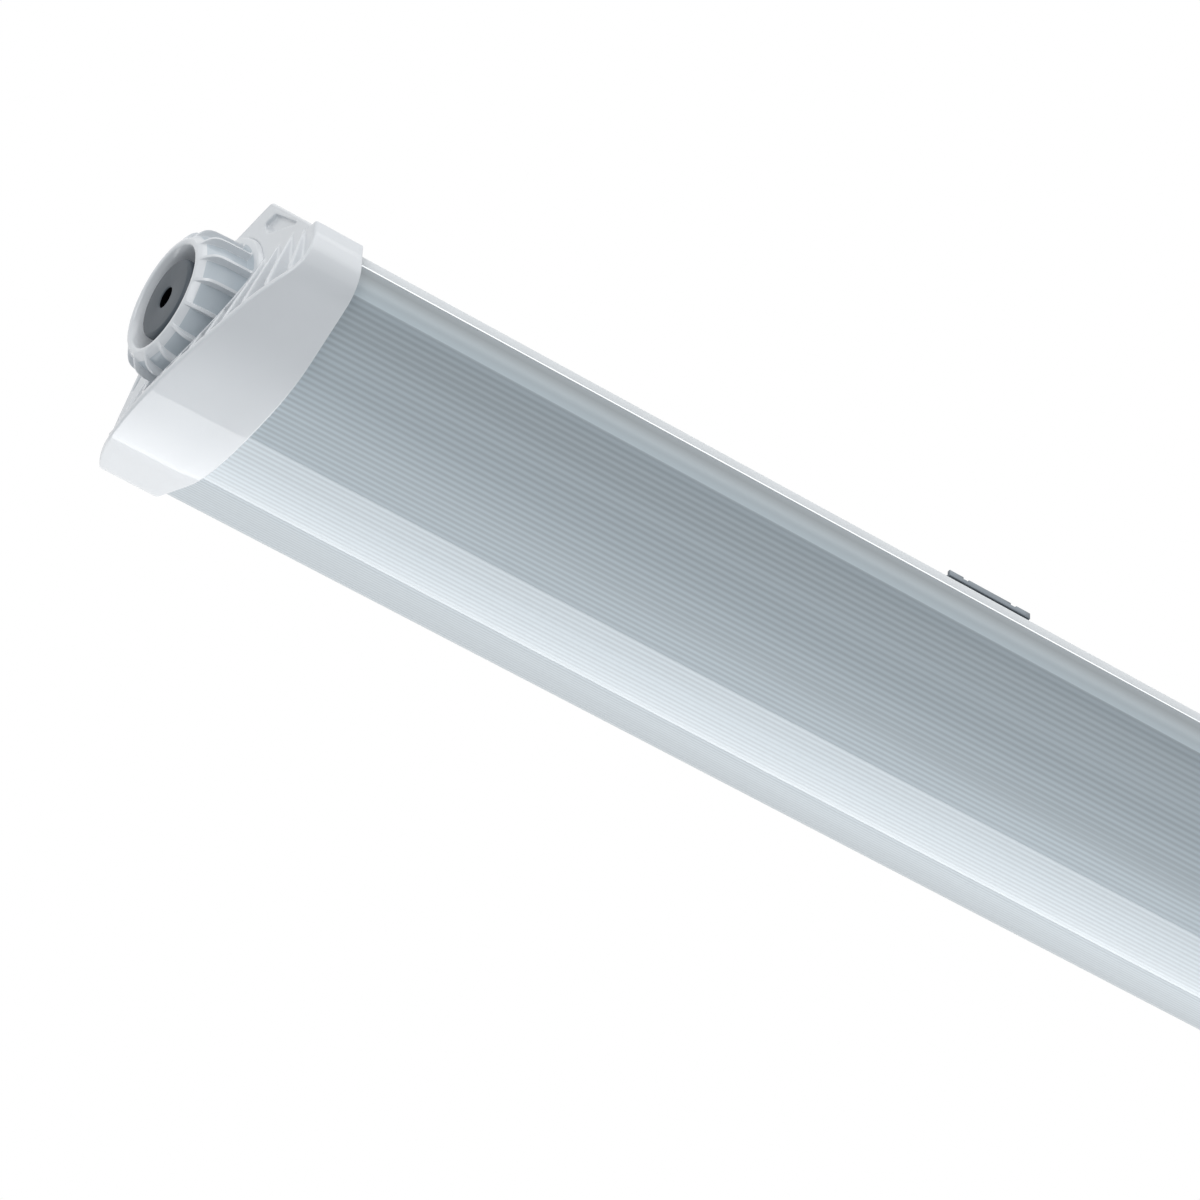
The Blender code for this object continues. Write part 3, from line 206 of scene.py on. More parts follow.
def grid_faces(rows, columns, close_rows=False):
    """Quads between neighbours on a grid of points, row by row, closed from its last column to its first."""
    i = np.arange(rows if close_rows else rows - 1)
    i, j = np.meshgrid(i, np.arange(columns), indexing="ij")
    below = (i + 1) % rows
    beside = (j + 1) % columns
    quads = (i * columns + j, i * columns + beside, below * columns + beside, below * columns + j)
    return np.stack(quads, axis=-1).reshape(-1, 4).tolist()


def grid_mesh(name, points, close_rows=True, flip=False, sharp_degrees=None):
    """A surface from points of shape (rows, columns, 3)."""
    rows, columns = points.shape[:2]
    faces = grid_faces(rows, columns, close_rows)
    if flip:
        faces = [face[::-1] for face in faces]
    return mesh_of(name, points, faces, sharp_degrees)


def turned(points, end):
    """Points of the blind end, counted from the cap's rear edge, put on end a or b."""
    placed = np.array(points, float)
    placed[..., 0] += cap_rear_x
    if end == "a":
        placed[..., :2] *= -1
    return placed


def revolved(name, profile, end, closed=True):
    """A (u, radius) profile turned about the gland's axis: y = r cos(angle), z = r sin(angle)."""
    profile = np.array(profile, float) * MM
    angle = np.linspace(0, FULL_TURN, gland_steps, endpoint=False)
    u = np.repeat(profile[:, :1], gland_steps, axis=1)
    y = profile[:, 1:2] * np.cos(angle)
    z = profile[:, 1:2] * np.sin(angle) + gland_z
    points = turned(np.stack((u, y, z), axis=-1), end)
    return grid_mesh(name, points, close_rows=closed, sharp_degrees=gland_sharp)


def extruded(loop):
    """The two rings of points that a (y, z) loop makes at the ends of the body."""
    points = np.zeros((2, len(loop), 3))
    points[..., 0] = np.array((-body_half, body_half))[:, None]
    points[..., 1:] = loop
    return points


def face_centres(mesh):
    """The middle of each face, as rows of (x, y, z)."""
    centres = np.empty(len(mesh.polygons) * 3, np.float32)
    mesh.polygons.foreach_get("center", centres)
    return centres.reshape(-1, 3)


def paint(mesh, chosen, material):
    """Gives the chosen faces a second material."""
    mesh.materials.append(material)
    mesh.polygons.foreach_set("material_index", chosen.astype(np.int32))


# The section of caps and lens
def rounded(before, corner, after, radius):
    """The arc that rounds a corner between two others, in equal turns.

    Its centre lies radius / sin(half the opening) from the corner, and it begins at a distance of
    radius / tan(half the opening).
    """
    back = before - corner
    ahead = after - corner
    back /= np.linalg.norm(back)
    ahead /= np.linalg.norm(ahead)
    opening = math.acos(np.clip(back @ ahead, -1, 1))
    middle = (back + ahead) / np.linalg.norm(back + ahead)
    centre = corner + middle * radius / math.sin(opening / 2)
    spoke = corner + back * radius / math.tan(opening / 2) - centre
    sign = -1 if back[0] * ahead[1] - back[1] * ahead[0] > 0 else 1
    turn = np.linspace(0, (math.pi - opening) * sign, fillet_steps + 1)[:, None]
    return centre + np.cos(turn) * spoke + np.sin(turn) * np.array((-spoke[1], spoke[0]))


def fillet(corners):
    """An open path with round corners, from (y, z, radius) corners."""
    places = np.array([corner[:2] for corner in corners])
    path = []
    for k, (_, _, radius) in enumerate(corners):
        if radius > 0:
            path.append(rounded(places[k - 1], places[k], places[k + 1], radius))
        else:
            path.append(places[k : k + 1])
    return np.concatenate(path)


def resampled(path):
    """The same path with points at most the section's spacing apart, its own corners kept."""
    out = [path[:1]]
    for a, b in zip(path, path[1:]):
        count = max(1, math.ceil(np.linalg.norm(b - a) / section_spacing))
        share = np.arange(1, count + 1)[:, None] / count
        out.append(a + (b - a) * share)
    return np.concatenate(out)


def crowned_floor():
    """The floor of the section from the slope to a faint keel in the middle.

    Its angle grows with the square of y: angle(y) = keel + (slope - keel) (y / end)^2, where end is found so
    that the curve meets the slope's line.
    """
    floor_corner = cap_half_width - slope_run
    low, high = floor_corner, cap_half_width
    for _ in range(floor_search_rounds):
        end = (low + high) / 2
        y = np.linspace(0, end, floor_curve_points)
        angle = keel_angle + (slope_angle - keel_angle) * (y / end) ** 2
        rise = np.concatenate(([0], np.cumsum(np.tan((angle[1:] + angle[:-1]) / 2) * np.diff(y))))
        if rise[-1] > (end - floor_corner) * math.tan(slope_angle):
            low = end
        else:
            high = end
    keep = np.linspace(0, floor_curve_points - 1, floor_kept_points).astype(int)
    return np.stack((y[keep], rise[keep] - cap_depth), axis=1)[::-1]


def half_section():
    """The right half of the cap's section as (y, height above the seam), from mid-roof to mid-floor."""
    roof_y = cap_half_width - shoulder_run
    ledge_z = strip_top + ledge_rise
    ledge_y = roof_y + (cap_rise - ledge_z) / math.tan(shoulder_angle)
    side_z = slope_run * math.tan(slope_angle) - cap_depth
    floor = crowned_floor()
    corners = [
        (0.0, cap_rise, 0.0),
        (roof_y, cap_rise, roof_round),
        (ledge_y, ledge_z, ledge_round),
        (cap_half_width, ledge_z, shoulder_round * shoulder_round_share),
        *((cap_half_width, belt_height + belt_run * share, 0.0) for share in belt_points),
        (cap_half_width, side_z, side_round),
        (floor[0, 0], floor[0, 1], 0.0),
    ]
    return np.concatenate((resampled(fillet(corners)), floor[1:]))


def normals_of(path):
    """Unit normals of a path that runs clockwise as seen from the blind end, pointing out."""
    step = np.gradient(path, axis=0)
    step /= np.linalg.norm(step, axis=1)[:, None]
    return np.stack((-step[:, 1], step[:, 0]), axis=1)


def whole_section():
    """The closed section and its outward normals: the right half, then the left half going back up."""
    normal = normals_of(half)
    normal[0] = (0, 1)
    normal[-1] = (0, -1)
    left = half[::-1][1:-1] * (-1, 1)
    left_normal = normal[::-1][1:-1] * (-1, 1)
    return np.concatenate((half, left)), np.concatenate((normal, left_normal))


half = half_section()
section, section_normal = whole_section()


def lowered(path):
    """Points of the section with those under the seam let down by the lens's drop.

    The drop grows along the upright side: lens_drop * clip((begins - height) / (begins - ends), 0, 1).
    """
    share = np.clip((drop_begins - path[..., 1]) / (drop_begins - drop_ends), 0, 1)
    return path - np.stack((np.zeros_like(share), lens_drop * share), axis=-1)


def foot_height(y):
    """Height of the section's underside above the seam, at a distance from the middle."""
    lower = half[half[:, 1] < strip_bottom]
    order = np.argsort(lower[:, 0])
    return np.interp(np.minimum(np.abs(y), cap_half_width - side_margin), lower[order, 0], lower[order, 1])


def belt_inset(y, height):
    """How far the side above the belt line stands back from the side under it: a smoothstep of the height."""
    rise = np.clip((height - belt_height) / belt_run, 0, 1)
    outer = np.clip((np.abs(y) - cap_half_width) / cap_proud + belt_fade, 0, 1)
    return belt_step * rise * rise * (3 - 2 * rise) * outer


def visor_front(y, height):
    """How far out the cap's skin reaches at a place of its section.

    The brow droops as |y|^droop power, and the reach bows as |y|^bow power. Between brow and foot the skin
    comes out as 1 - (1 - drop)^bulge.
    """
    share = np.minimum(np.abs(y) / cap_half_width, 1.0)
    brow = visor_top - visor_droop * share**visor_droop_power
    foot = foot_height(y)
    drop = np.clip((brow - height) / (brow - foot), 0, 1)
    reach = cap_reach - (cap_reach - cap_side_reach) * share**visor_bow_power
    return cap_plate_front + (reach - cap_plate_front) * (1 - (1 - drop) ** visor_bulge)


# The caps
def quarter(radius):
    """A quarter round in steps: how far along it goes at first, and how far across at last."""
    turn = np.linspace(0, math.pi / 2, rim_steps + 1)
    return radius * np.sin(turn), radius * (1 - np.cos(turn))


def inner_stations(front):
    """The rim's inner side and its root. Where the visor is low, it dives into the front plate instead."""
    visor = np.clip((front - cap_plate_front) / visor_fade, 0, 1)
    deep = cap_skin + skin_margin
    stations = []
    for k, (a, c) in enumerate(zip(*quarter(inner_rim))):
        low = (front - dive_back * k, front_rim + dive_in * (k + 1))
        high = (front - c, deep - inner_rim + a)
        stations.append(tuple(p + (q - p) * visor for p, q in zip(low, high)))
    stations.append((cap_plate_front - skin_root, deep))
    return stations


def skin_stations(front):
    """Pairs (u, inset) of the skin: the section drawn in by the inset, at u from the rear edge."""
    stations = [
        (socket_depth, socket_inset),
        (socket_chamfer, socket_inset),
        (0.0, socket_inset - socket_chamfer),
    ]
    stations += [(c, rear_rim - a) for a, c in zip(*quarter(rear_rim))]
    stations += [(share * front, 0.0) for share in side_stations]
    stations += [(front - front_rim + a, c) for a, c in zip(*quarter(front_rim))]
    return stations + inner_stations(front)


def build_cap_skin(end, body, material):
    """The cap's smooth outside: socket wall, rounded rear edge, sides, and the bowed rim of the visor.

    A station's points lie at u, on section - normal * inset; those in the socket are let down with the lens.
    """
    y, height = section[:, 0], section[:, 1]
    belt = belt_inset(y, height)
    rows = []
    for u, inset in skin_stations(visor_front(y, height)):
        u, inset = np.broadcast_arrays(u, inset, y)[:2]
        if inset.max() < rear_rim + front_rim:
            inset = inset + belt
        place = section - section_normal * inset[:, None]
        if inset.min() > cap_skin + tuck:
            place = lowered(place)
        rows.append(np.stack((u, place[:, 0], place[:, 1] + seam_z), axis=1))
    mesh = grid_mesh(f"cap_skin_{end}", turned(np.stack(rows), end), flip=True, sharp_degrees=skin_sharp)
    new_object(f"cap_skin_{end}", mesh, body, material, (f"end_cap_{end}",))


def inset_of(places):
    """How far inside the outline each (y, height) lies, with the outline's nearest point and normal."""
    tail, tip = section, np.roll(section, -1, axis=0)
    run = tip - tail
    share = np.einsum("psk,sk->ps", places[:, None] - tail, run) / np.einsum("sk,sk->s", run, run)
    foot = tail + run * np.clip(share, 0, 1)[..., None]
    gap = np.linalg.norm(places[:, None] - foot, axis=2)
    nearest = gap.argmin(axis=1)
    foot = foot[np.arange(len(places)), nearest]
    normal = np.stack((-run[:, 1], run[:, 0]), axis=1)
    normal /= np.linalg.norm(normal, axis=1)[:, None]
    normal = normal[nearest]
    return np.sum((foot - places) * normal, axis=1), foot, normal


def merged(node):
    """A solid's mesh with its coincident points joined, ready for cuts."""
    shape = bmesh.new()
    shape.from_mesh(frame["nodes"][node].data)
    bmesh.ops.remove_doubles(shape, verts=shape.verts, dist=weld)
    return shape


def written(shape, name):
    """A new mesh from a shape, which is freed."""
    mesh = bpy.data.meshes.new(name)
    shape.to_mesh(mesh)
    shape.free()
    return mesh


def tucked_cap():
    """The solid cap's mesh, merged, with its outside drawn in under the skin."""
    mesh = written(merged("end_cap_b"), "cap_core")
    place = np.empty(len(mesh.vertices) * 3, np.float32)
    mesh.vertices.foreach_get("co", place)
    place = place.reshape(-1, 3).astype(float)
    u, y, height = place[:, 0] - cap_rear_x, place[:, 1], place[:, 2] - seam_z
    inset, foot, normal = inset_of(np.stack((y, height), axis=1))
    drawn = foot - normal * tuck
    outside = inset < tuck
    y = np.where(outside, drawn[:, 0], y)
    height = np.where(outside, drawn[:, 1], height)
    rim = (inset < cap_skin + tuck_rim) & (u > cap_plate_front + tuck_front)
    u = np.where(rim, np.minimum(u, visor_front(y, height) - tuck), u)
    u = np.where(u < tuck_rear, tuck, u)
    place = np.stack((u + cap_rear_x, y, height + seam_z), axis=1)
    mesh.vertices.foreach_set("co", place.ravel().astype(np.float32))
    return mesh


def half_of(mesh, keep_front):
    """The part of the cap's closed mesh in front of or behind the cut, closed again there."""
    part = bmesh.new()
    part.from_mesh(mesh)
    everything = list(part.verts) + list(part.edges) + list(part.faces)
    plane = (cap_rear_x + front_part_from, 0, 0)
    cut = bmesh.ops.bisect_plane(
        part, geom=everything, dist=cut_weld, plane_co=plane, plane_no=(1, 0, 0),
        clear_inner=keep_front, clear_outer=not keep_front,
    )
    edges = [item for item in cut["geom_cut"] if isinstance(item, bmesh.types.BMEdge)]
    bmesh.ops.holes_fill(part, edges=edges, sides=0)
    return written(part, "cap_part")


def evaluated(piece):
    """A new mesh of an object as its modifiers leave it."""
    graph = bpy.context.evaluated_depsgraph_get()
    return bpy.data.meshes.new_from_object(piece.evaluated_get(graph))


def settled(mesh):
    """The mesh rebuilt in small even faces, softened so that its edges are round, and thinned again."""
    rough = bpy.data.objects.new("rough", mesh)
    bpy.context.scene.collection.objects.link(rough)
    remesh = rough.modifiers.new("remesh", "REMESH")
    remesh.mode = "VOXEL"
    remesh.voxel_size = cap_voxel
    remesh.use_smooth_shade = True
    soften = rough.modifiers.new("soften", "SMOOTH")
    soften.factor = cap_soften_share
    soften.iterations = cap_soften_rounds
    thin = rough.modifiers.new("thin", "DECIMATE")
    thin.ratio = cap_kept_share
    made = evaluated(rough)
    bpy.data.objects.remove(rough)
    return made


def placed_at(mesh, name, end):
    """A copy of a mesh made at the blind end, on end a or b."""
    copy = mesh.copy()
    copy.name = name
    if end == "a":
        copy.transform(Matrix.Rotation(math.pi, 4, "Z"))
    return copy


def build_caps(material):
    """Each cap as its skin, its finely rounded front with fins and gland, and its base in the socket."""
    core = tucked_cap()
    front = settled(half_of(core, keep_front=True))
    base = half_of(core, keep_front=False)
    base.shade_smooth()
    base.set_sharp_from_angle(angle=math.radians(solid_sharp))
    for end, body in (("a", "gear_assembly"), ("b", "blind_cap")):
        node = (f"end_cap_{end}",)
        build_cap_skin(end, body, material)
        for name, mesh in (("cap_front", front), ("cap_base", base)):
            new_object(f"{name}_{end}", placed_at(mesh, name, end), body, material, node)


# The lens and the beads
def lens_outline():
    """The lens's smooth outside: the section drawn in by the cap's step, from its top edge to the keel."""
    lens_top = strip_bottom - lens_gap
    inner = half - section_normal[: len(half)] * cap_proud
    inner[-1] = (0.0, inner[-1, 1])
    inner = lowered(inner[inner[:, 1] < lens_top])
    return np.concatenate(([(cap_half_width - cap_proud, lens_top)], inner))


def lens_path():
    """The lens's outside with shallow ribs, its normals, and the arc length from where the ribs begin.

    A groove's depth is rib_depth * clip(1 - d / (groove / 2), 0, 1), at a distance d from its middle.
    """
    outline = lens_outline()
    length = np.concatenate(([0], np.cumsum(np.linalg.norm(np.diff(outline, axis=0), axis=1))))
    ribbed_from = length[-1] - ribbed_run
    smooth_part = np.linspace(0, ribbed_from, smooth_steps, endpoint=False)
    half_groove = rib_groove / 2
    shares = np.array((-0.5, -half_groove / rib_pitch, 0.0, half_groove / rib_pitch))
    ribbed_part = ribbed_from + rib_pitch * (np.arange(ribs_each_side)[:, None] + shares).ravel()
    at = np.concatenate((smooth_part, ribbed_part[ribbed_part > smooth_part[-1]], length[-1:]))
    path = np.stack((np.interp(at, length, outline[:, 0]), np.interp(at, length, outline[:, 1])), axis=1)
    out = normals_of(path)
    along = at - ribbed_from
    off_middle = np.abs(along / rib_pitch - np.round(along / rib_pitch)) * rib_pitch
    groove = np.clip(1 - off_middle / half_groove, 0, 1) * (along > -rib_groove)
    return path - out * (rib_depth * groove)[:, None], out, along


def lens_ends(total):
    """Quads across the wall that close both ends of the lens's tube."""
    k = np.arange(total // 2 - 1)
    ring = np.stack((k, k + 1, total - 2 - k, total - 1 - k), axis=1)
    return ring.tolist() + (ring[:, ::-1] + total).tolist()


def build_lens(material, plain_material):
    """The extruded lens as one closed shell; its arc length is kept as an attribute.

    The wall's inner side is the outer side less normal * wall.
    """
    outer, out, along = lens_path()
    inner = outer - out * lens_wall
    left_outer = outer[:-1] * (-1, 1)
    left_inner = inner[:-1] * (-1, 1)
    loop = np.concatenate((left_outer, outer[::-1], inner, left_inner[::-1]))
    reach = np.tile(np.concatenate((along[:-1], along[::-1], along, along[-2::-1])), 2)
    points = extruded(loop + (0, seam_z))
    faces = grid_faces(2, len(loop)) + lens_ends(len(loop))
    mesh = mesh_of("ribbed_lens", points, faces, extruded_sharp)
    stripe = mesh.attributes.new("along", "FLOAT", "POINT")
    stripe.data.foreach_set("value", reach.astype(np.float32))
    new_object("ribbed_lens", mesh, "shell", material, ("lens",))
    first, second = np.array(faces)[:, :2].T
    # The plain edge's faces get the smooth material, whose colour holds painted shade and painted highlight
    paint(mesh, np.maximum(reach[first], reach[second]) < rib_groove, plain_material)


def build_seam_beads(material):
    """The bright rounded bead along the foot of the housing's strip, above the lens's edge, on both sides.

    The bead is half an ellipse: y = foot - depth (1 - cos(turn)), z = middle + half height sin(turn).
    """
    turn = np.linspace(math.pi / 2, -math.pi / 2, bead_points)
    y = cap_half_width - cap_proud + bead_proud - bead_depth * (1 - np.cos(turn))
    z = seam_z + strip_bottom - bead_drop + bead_half_height * np.sin(turn)
    ring = list(range(bead_points))
    faces = grid_faces(2, bead_points)
    faces += [ring[::-1], [k + bead_points for k in ring]]
    for side, name in ((1, "far"), (-1, "near")):
        facing = [face[::-1] for face in faces] if side > 0 else faces
        mesh = mesh_of(f"seam_bead_{name}", extruded(np.stack((side * y, z), axis=1)), facing, extruded_sharp)
        new_object(f"seam_bead_{name}", mesh, "shell", material)


# The gland's pieces
def nut_profile():
    """The gland nut from rear to front and back through its mouth: (u, rib radius, flute radius)."""
    flange = [
        (14.5, 18.3), (14.5, 24.36), (15.05, 24.36), (15.2, 24.2), (15.9, 24.15), (16.15, 24.0),
        (16.28, 23.7),
    ]
    walls = [
        (16.32, 22.2, 22.2), (16.36, 21.75, 19.8), (16.5, 21.6, 19.62), (17.2, 21.6, 19.6),
        (20.0, 21.6, 19.6), (23.4, 21.5, 19.6), (25.2, 21.4, 19.3), (26.2, 21.2, 19.1), (27.0, 20.9, 18.9),
        (27.7, 20.45, 18.7), (28.3, 19.85, 18.45), (28.8, 19.2, 18.15), (29.2, 18.55, 17.85),
        (29.6, 17.9, 17.55), (29.95, 17.2, 17.1),
    ]
    mouth = [
        (30.18, 16.8), (30.3, 16.3), (30.26, 15.7), (30.05, 15.3), (29.7, 15.1), (26.5, 14.4), (23.5, 14.1),
        (23.4, 14.0), (23.4, 12.8), (22.0, 12.8), (22.0, 18.3),
    ]
    rows = [(u, r, r) for u, r in flange] + walls + [(u, r, r) for u, r in mouth]
    return np.array(rows) * MM


def nut_radius(on_rib, in_flute, off):
    """The nut's radius on each row of its profile, at each share of a rib's pitch from the rib's middle.

    It goes from the flute's to the rib's as 1 - smoothstep of the share, and the flute is flat: its radius is
    that of the chord, cos(half flute) / cos(turn from the flute's middle).
    """
    share = np.clip((off - rib_top_share) / rib_wall_share, 0, 1)
    rib = 1 - share * share * (3 - 2 * share)
    half_flute = half_flute_share * FULL_TURN / nut_ribs
    from_middle = np.minimum((0.5 - off) * FULL_TURN / nut_ribs, half_flute)
    flat = np.where(in_flute < on_rib - fluted_from, math.cos(half_flute) / np.cos(from_middle), 1.0)
    return in_flute * flat + (on_rib - in_flute * flat) * rib


def build_nut(end, material, flute_shade_material):
    """The knurled gland nut: narrow ribs with rounded edges between flat flutes, whose faces get a darker,
    bluer plastic as painted shade.
    """
    rows = nut_profile()
    phase = np.sort(np.concatenate((rib_phases, [0.5], -np.array(rib_phases)[:0:-1])) % 1.0)
    angle = (np.arange(nut_ribs)[:, None] + phase).ravel() / nut_ribs * FULL_TURN
    off = np.tile(np.minimum(phase, 1 - phase), nut_ribs)
    radius = nut_radius(rows[:, 1:2], rows[:, 2:3], off)
    u = np.repeat(rows[:, :1], len(angle), axis=1)
    points = np.stack((u, radius * np.cos(angle), radius * np.sin(angle) + gland_z), axis=-1)
    mesh = grid_mesh(f"knurled_nut_{end}", turned(points, end), sharp_degrees=gland_sharp)
    new_object(f"knurled_nut_{end}", mesh, f"nut_{end}", material, (f"gland_nut_{end}",))
    # Painted shade: the flutes' faces get a darker, bluer plastic that stands for the shade the ribs cast
    # into them
    low = np.maximum(off, np.roll(off, -1)) > flute_face_share
    next_u = np.roll(rows[:, 0], -1)
    wall = (rows[:, 0] > flute_face_from) & (next_u < flute_face_to) & (rows[:, 1] > flute_face_above)
    paint(mesh, (wall[:, None] & low).ravel(), flute_shade_material)


def build_rubbers(material, hole_shade_material):
    """The grommet with its pinhole, and the blind plug with a dimple in its place, from (u, radius) in mm."""
    outside = [
        (11.8, 11.9), (12.0, 12.5), (12.4, 12.7), (18.9, 12.7), (19.1, 12.9), (19.1, 17.0), (19.2, 17.2),
        (20.2, 17.2), (20.3, 17.0), (20.3, 11.9), (20.6, 11.5), (28.1, 11.5), (28.5, 11.42), (28.9, 11.15),
        (29.2, 10.75), (29.33, 10.45), (29.35, 10.2), (29.35, 3.5), (29.28, 3.2), (29.05, 3.02),
    ]
    pinhole = [(28.2, 3.0), (11.8, 3.0), (11.8, 3.4)]
    grommet = revolved("rubber_grommet", outside + pinhole, "a")
    new_object("rubber_grommet", grommet, "gear_assembly", material, ("grommet",))
    # Painted shade: the pinhole's wall gets a nearly black, glossless material
    centres = face_centres(grommet)
    paint(grommet, np.hypot(centres[:, 1], centres[:, 2] - gland_z) < pinhole_limit, hole_shade_material)
    tail = [(11.8, 0.001)]
    dimple = [(28.4, 2.4), (28.35, 1.2), (28.35, 0.001)]
    plug = revolved("rubber_plug", tail + outside + dimple, "b", closed=False)
    new_object("rubber_plug", plug, "blind_cap", material, ("blind_plug",))


# The other pieces
def softened(node, material, width):
    """A copy of a solid with its edges rounded a little, which stands for the solid. Gives its mesh back."""
    shape = merged(node)
    angle = math.radians(dissolve_under)
    bmesh.ops.dissolve_limit(shape, angle_limit=angle, verts=shape.verts, edges=shape.edges)
    mesh = written(shape, f"{node}_finish")
    mesh.shade_smooth()
    body = next(name for name, nodes in frame["record"]["behaviour"]["bodies"].items() if node in nodes)
    piece = new_object(f"{node}_finish", mesh, body, material, (node,))
    bevel = piece.modifiers.new("edges", "BEVEL")
    bevel.width = width
    bevel.segments = bevel_segments
    bevel.limit_method = "ANGLE"
    bevel.angle_limit = math.radians(bevel_from)
    made = evaluated(piece)
    piece.modifiers.clear()
    piece.data = made
    made.set_sharp_from_angle(angle=math.radians(solid_sharp))
    return made


# Materials
lens_colour = (0.488, 0.557, 0.600)
smooth_colour = (0.475, 0.535, 0.568)
rubber_colour = (0.068, 0.084, 0.100)
# Painted shade: the pinhole's wall, much darker than the rubber
hole_shade_colour = (0.002, 0.002, 0.003)
lens_gloss = 1.6
# Painted shade: stripes of lighter and darker colour at the ribs' pitch stand for the shading of the ribs
rib_shade_strength = 0.19
rib_shade_spread = 0.14
noise_span = (0.3, 0.7)
# Painted shade across the ribbed part: darker where the ribs begin, paler toward the middle
lens_painted_shades = ((0.0, 0.80), (0.35, 0.92), (0.8, 1.0))
# Painted shade and painted highlight across the lens's plain edge
smooth_painted_shades = (
    (0.0, 0.74), (0.12, 0.70), (0.38, 0.56), (0.55, 0.75), (0.72, 0.98), (0.85, 1.02), (1.0, 1.25),
)


def shader(name, colour, roughness, metallic=0.0, coat=0.0, coat_roughness=0.1, specular=0.5):
    """A Principled material with its plain values set on its own sockets."""
    made = bpy.data.materials.new(name)
    made.use_nodes = True
    node = made.node_tree.nodes["Principled BSDF"]
    node.inputs["Base Color"].default_value = (*colour, 1)
    node.inputs["Roughness"].default_value = roughness
    node.inputs["Metallic"].default_value = metallic
    node.inputs["Coat Weight"].default_value = coat
    node.inputs["Coat Roughness"].default_value = coat_roughness
    node.inputs["Specular IOR Level"].default_value = specular
    return made, made.node_tree, node


def noise(tree, scale, detail, stretch=(1, 1, 1)):
    """Noise on the piece's own coordinates."""
    place = tree.nodes.new("ShaderNodeTexCoord")
    mapping = tree.nodes.new("ShaderNodeMapping")
    mapping.inputs["Scale"].default_value = stretch
    made = tree.nodes.new("ShaderNodeTexNoise")
    made.inputs["Scale"].default_value = scale
    made.inputs["Detail"].default_value = detail
    tree.links.new(place.outputs["Object"], mapping.inputs["Vector"])
    tree.links.new(mapping.outputs["Vector"], made.inputs["Vector"])
    return made.outputs["Fac"]


def ramp(tree, source, stops):
    """Colours between stops, by a value from 0 to 1."""
    made = tree.nodes.new("ShaderNodeValToRGB")
    tree.links.new(source, made.inputs["Fac"])
    band = made.color_ramp
    band.elements[0].position, band.elements[0].color = stops[0][0], (*stops[0][1], 1)
    band.elements[1].position, band.elements[1].color = stops[-1][0], (*stops[-1][1], 1)
    for position, colour in stops[1:-1]:
        band.elements.new(position).color = (*colour, 1)
    return made.outputs["Color"]


def spread_ramp(tree, source, colour, spread):
    """A colour that gets darker and lighter by a spread, over the middle of the noise's range."""
    low, high = (tuple(min(1.0, c * (1 + side * spread)) for c in colour) for side in (-1, 1))
    return ramp(tree, source, list(zip(noise_span, (low, high))))


def bump(tree, node, height, strength, distance):
    """A fine relief that only the shading has."""
    made = tree.nodes.new("ShaderNodeBump")
    made.inputs["Strength"].default_value = strength
    made.inputs["Distance"].default_value = distance
    tree.links.new(height, made.inputs["Height"])
    tree.links.new(made.outputs["Normal"], node.inputs["Normal"])


def moulded(name, colour, roughness, coat=0.4, coat_roughness=0.08, spread=0.015, texture=0.05):
    """Injection-moulded plastic: faint cloudiness in its colour and a fine, soft surface texture."""
    made, tree, node = shader(name, colour, roughness, coat=coat, coat_roughness=coat_roughness)
    clouds = noise(tree, scale=45.0, detail=3.0)
    tree.links.new(spread_ramp(tree, clouds, colour, spread), node.inputs["Base Color"])
    bump(tree, node, noise(tree, scale=900.0, detail=2.0), strength=texture, distance=0.2 * MM)
    return made


def rubber_material():
    """Dull rubber with a fine grain."""
    made, tree, node = shader("dark_rubber", rubber_colour, roughness=0.45, specular=0.35)
    clouds = noise(tree, scale=300.0, detail=4.0)
    tree.links.new(spread_ramp(tree, clouds, rubber_colour, spread=0.06), node.inputs["Base Color"])
    bump(tree, node, noise(tree, scale=1500.0, detail=3.0), strength=0.12, distance=0.2 * MM)
    return made


def hole_shade_material():
    """The pinhole's wall, coloured nearly black and without any gloss: painted shade for the dark inside of
    the hole.
    """
    made, tree, node = shader("hole_painted_shade", hole_shade_colour, roughness=1.0, specular=0.0)
    clouds = noise(tree, scale=300.0, detail=3.0)
    tree.links.new(spread_ramp(tree, clouds, hole_shade_colour, spread=0.1), node.inputs["Base Color"])
    return made


def brushed(name, colour, roughness, stretch=(0.03, 1, 1), spread=0.12):
    """Metal with a grain that runs along the part."""
    made, tree, node = shader(name, colour, roughness, metallic=1.0)
    grain = noise(tree, scale=700.0, detail=4.0, stretch=stretch)
    tree.links.new(spread_ramp(tree, grain, colour, spread), node.inputs["Base Color"])
    bump(tree, node, grain, strength=0.15, distance=0.1 * MM)
    return made


def math_node(tree, operation, source, *others):
    """A sum or function of a socket and of numbers or other sockets."""
    made = tree.nodes.new("ShaderNodeMath")
    made.operation = operation
    tree.links.new(source, made.inputs[0])
    for place, other in enumerate(others, start=1):
        if isinstance(other, float):
            made.inputs[place].default_value = other
        else:
            tree.links.new(other, made.inputs[place])
    return made.outputs[0]


def multiplied(tree, first, second):
    """The product of two colours."""
    made = tree.nodes.new("ShaderNodeVectorMath")
    made.operation = "MULTIPLY"
    tree.links.new(first, made.inputs[0])
    tree.links.new(second, made.inputs[1])
    return made.outputs[0]


def along_of(tree):
    """The lens's arc length from where its ribs begin."""
    place = tree.nodes.new("ShaderNodeAttribute")
    place.attribute_name = "along"
    return place.outputs["Fac"]


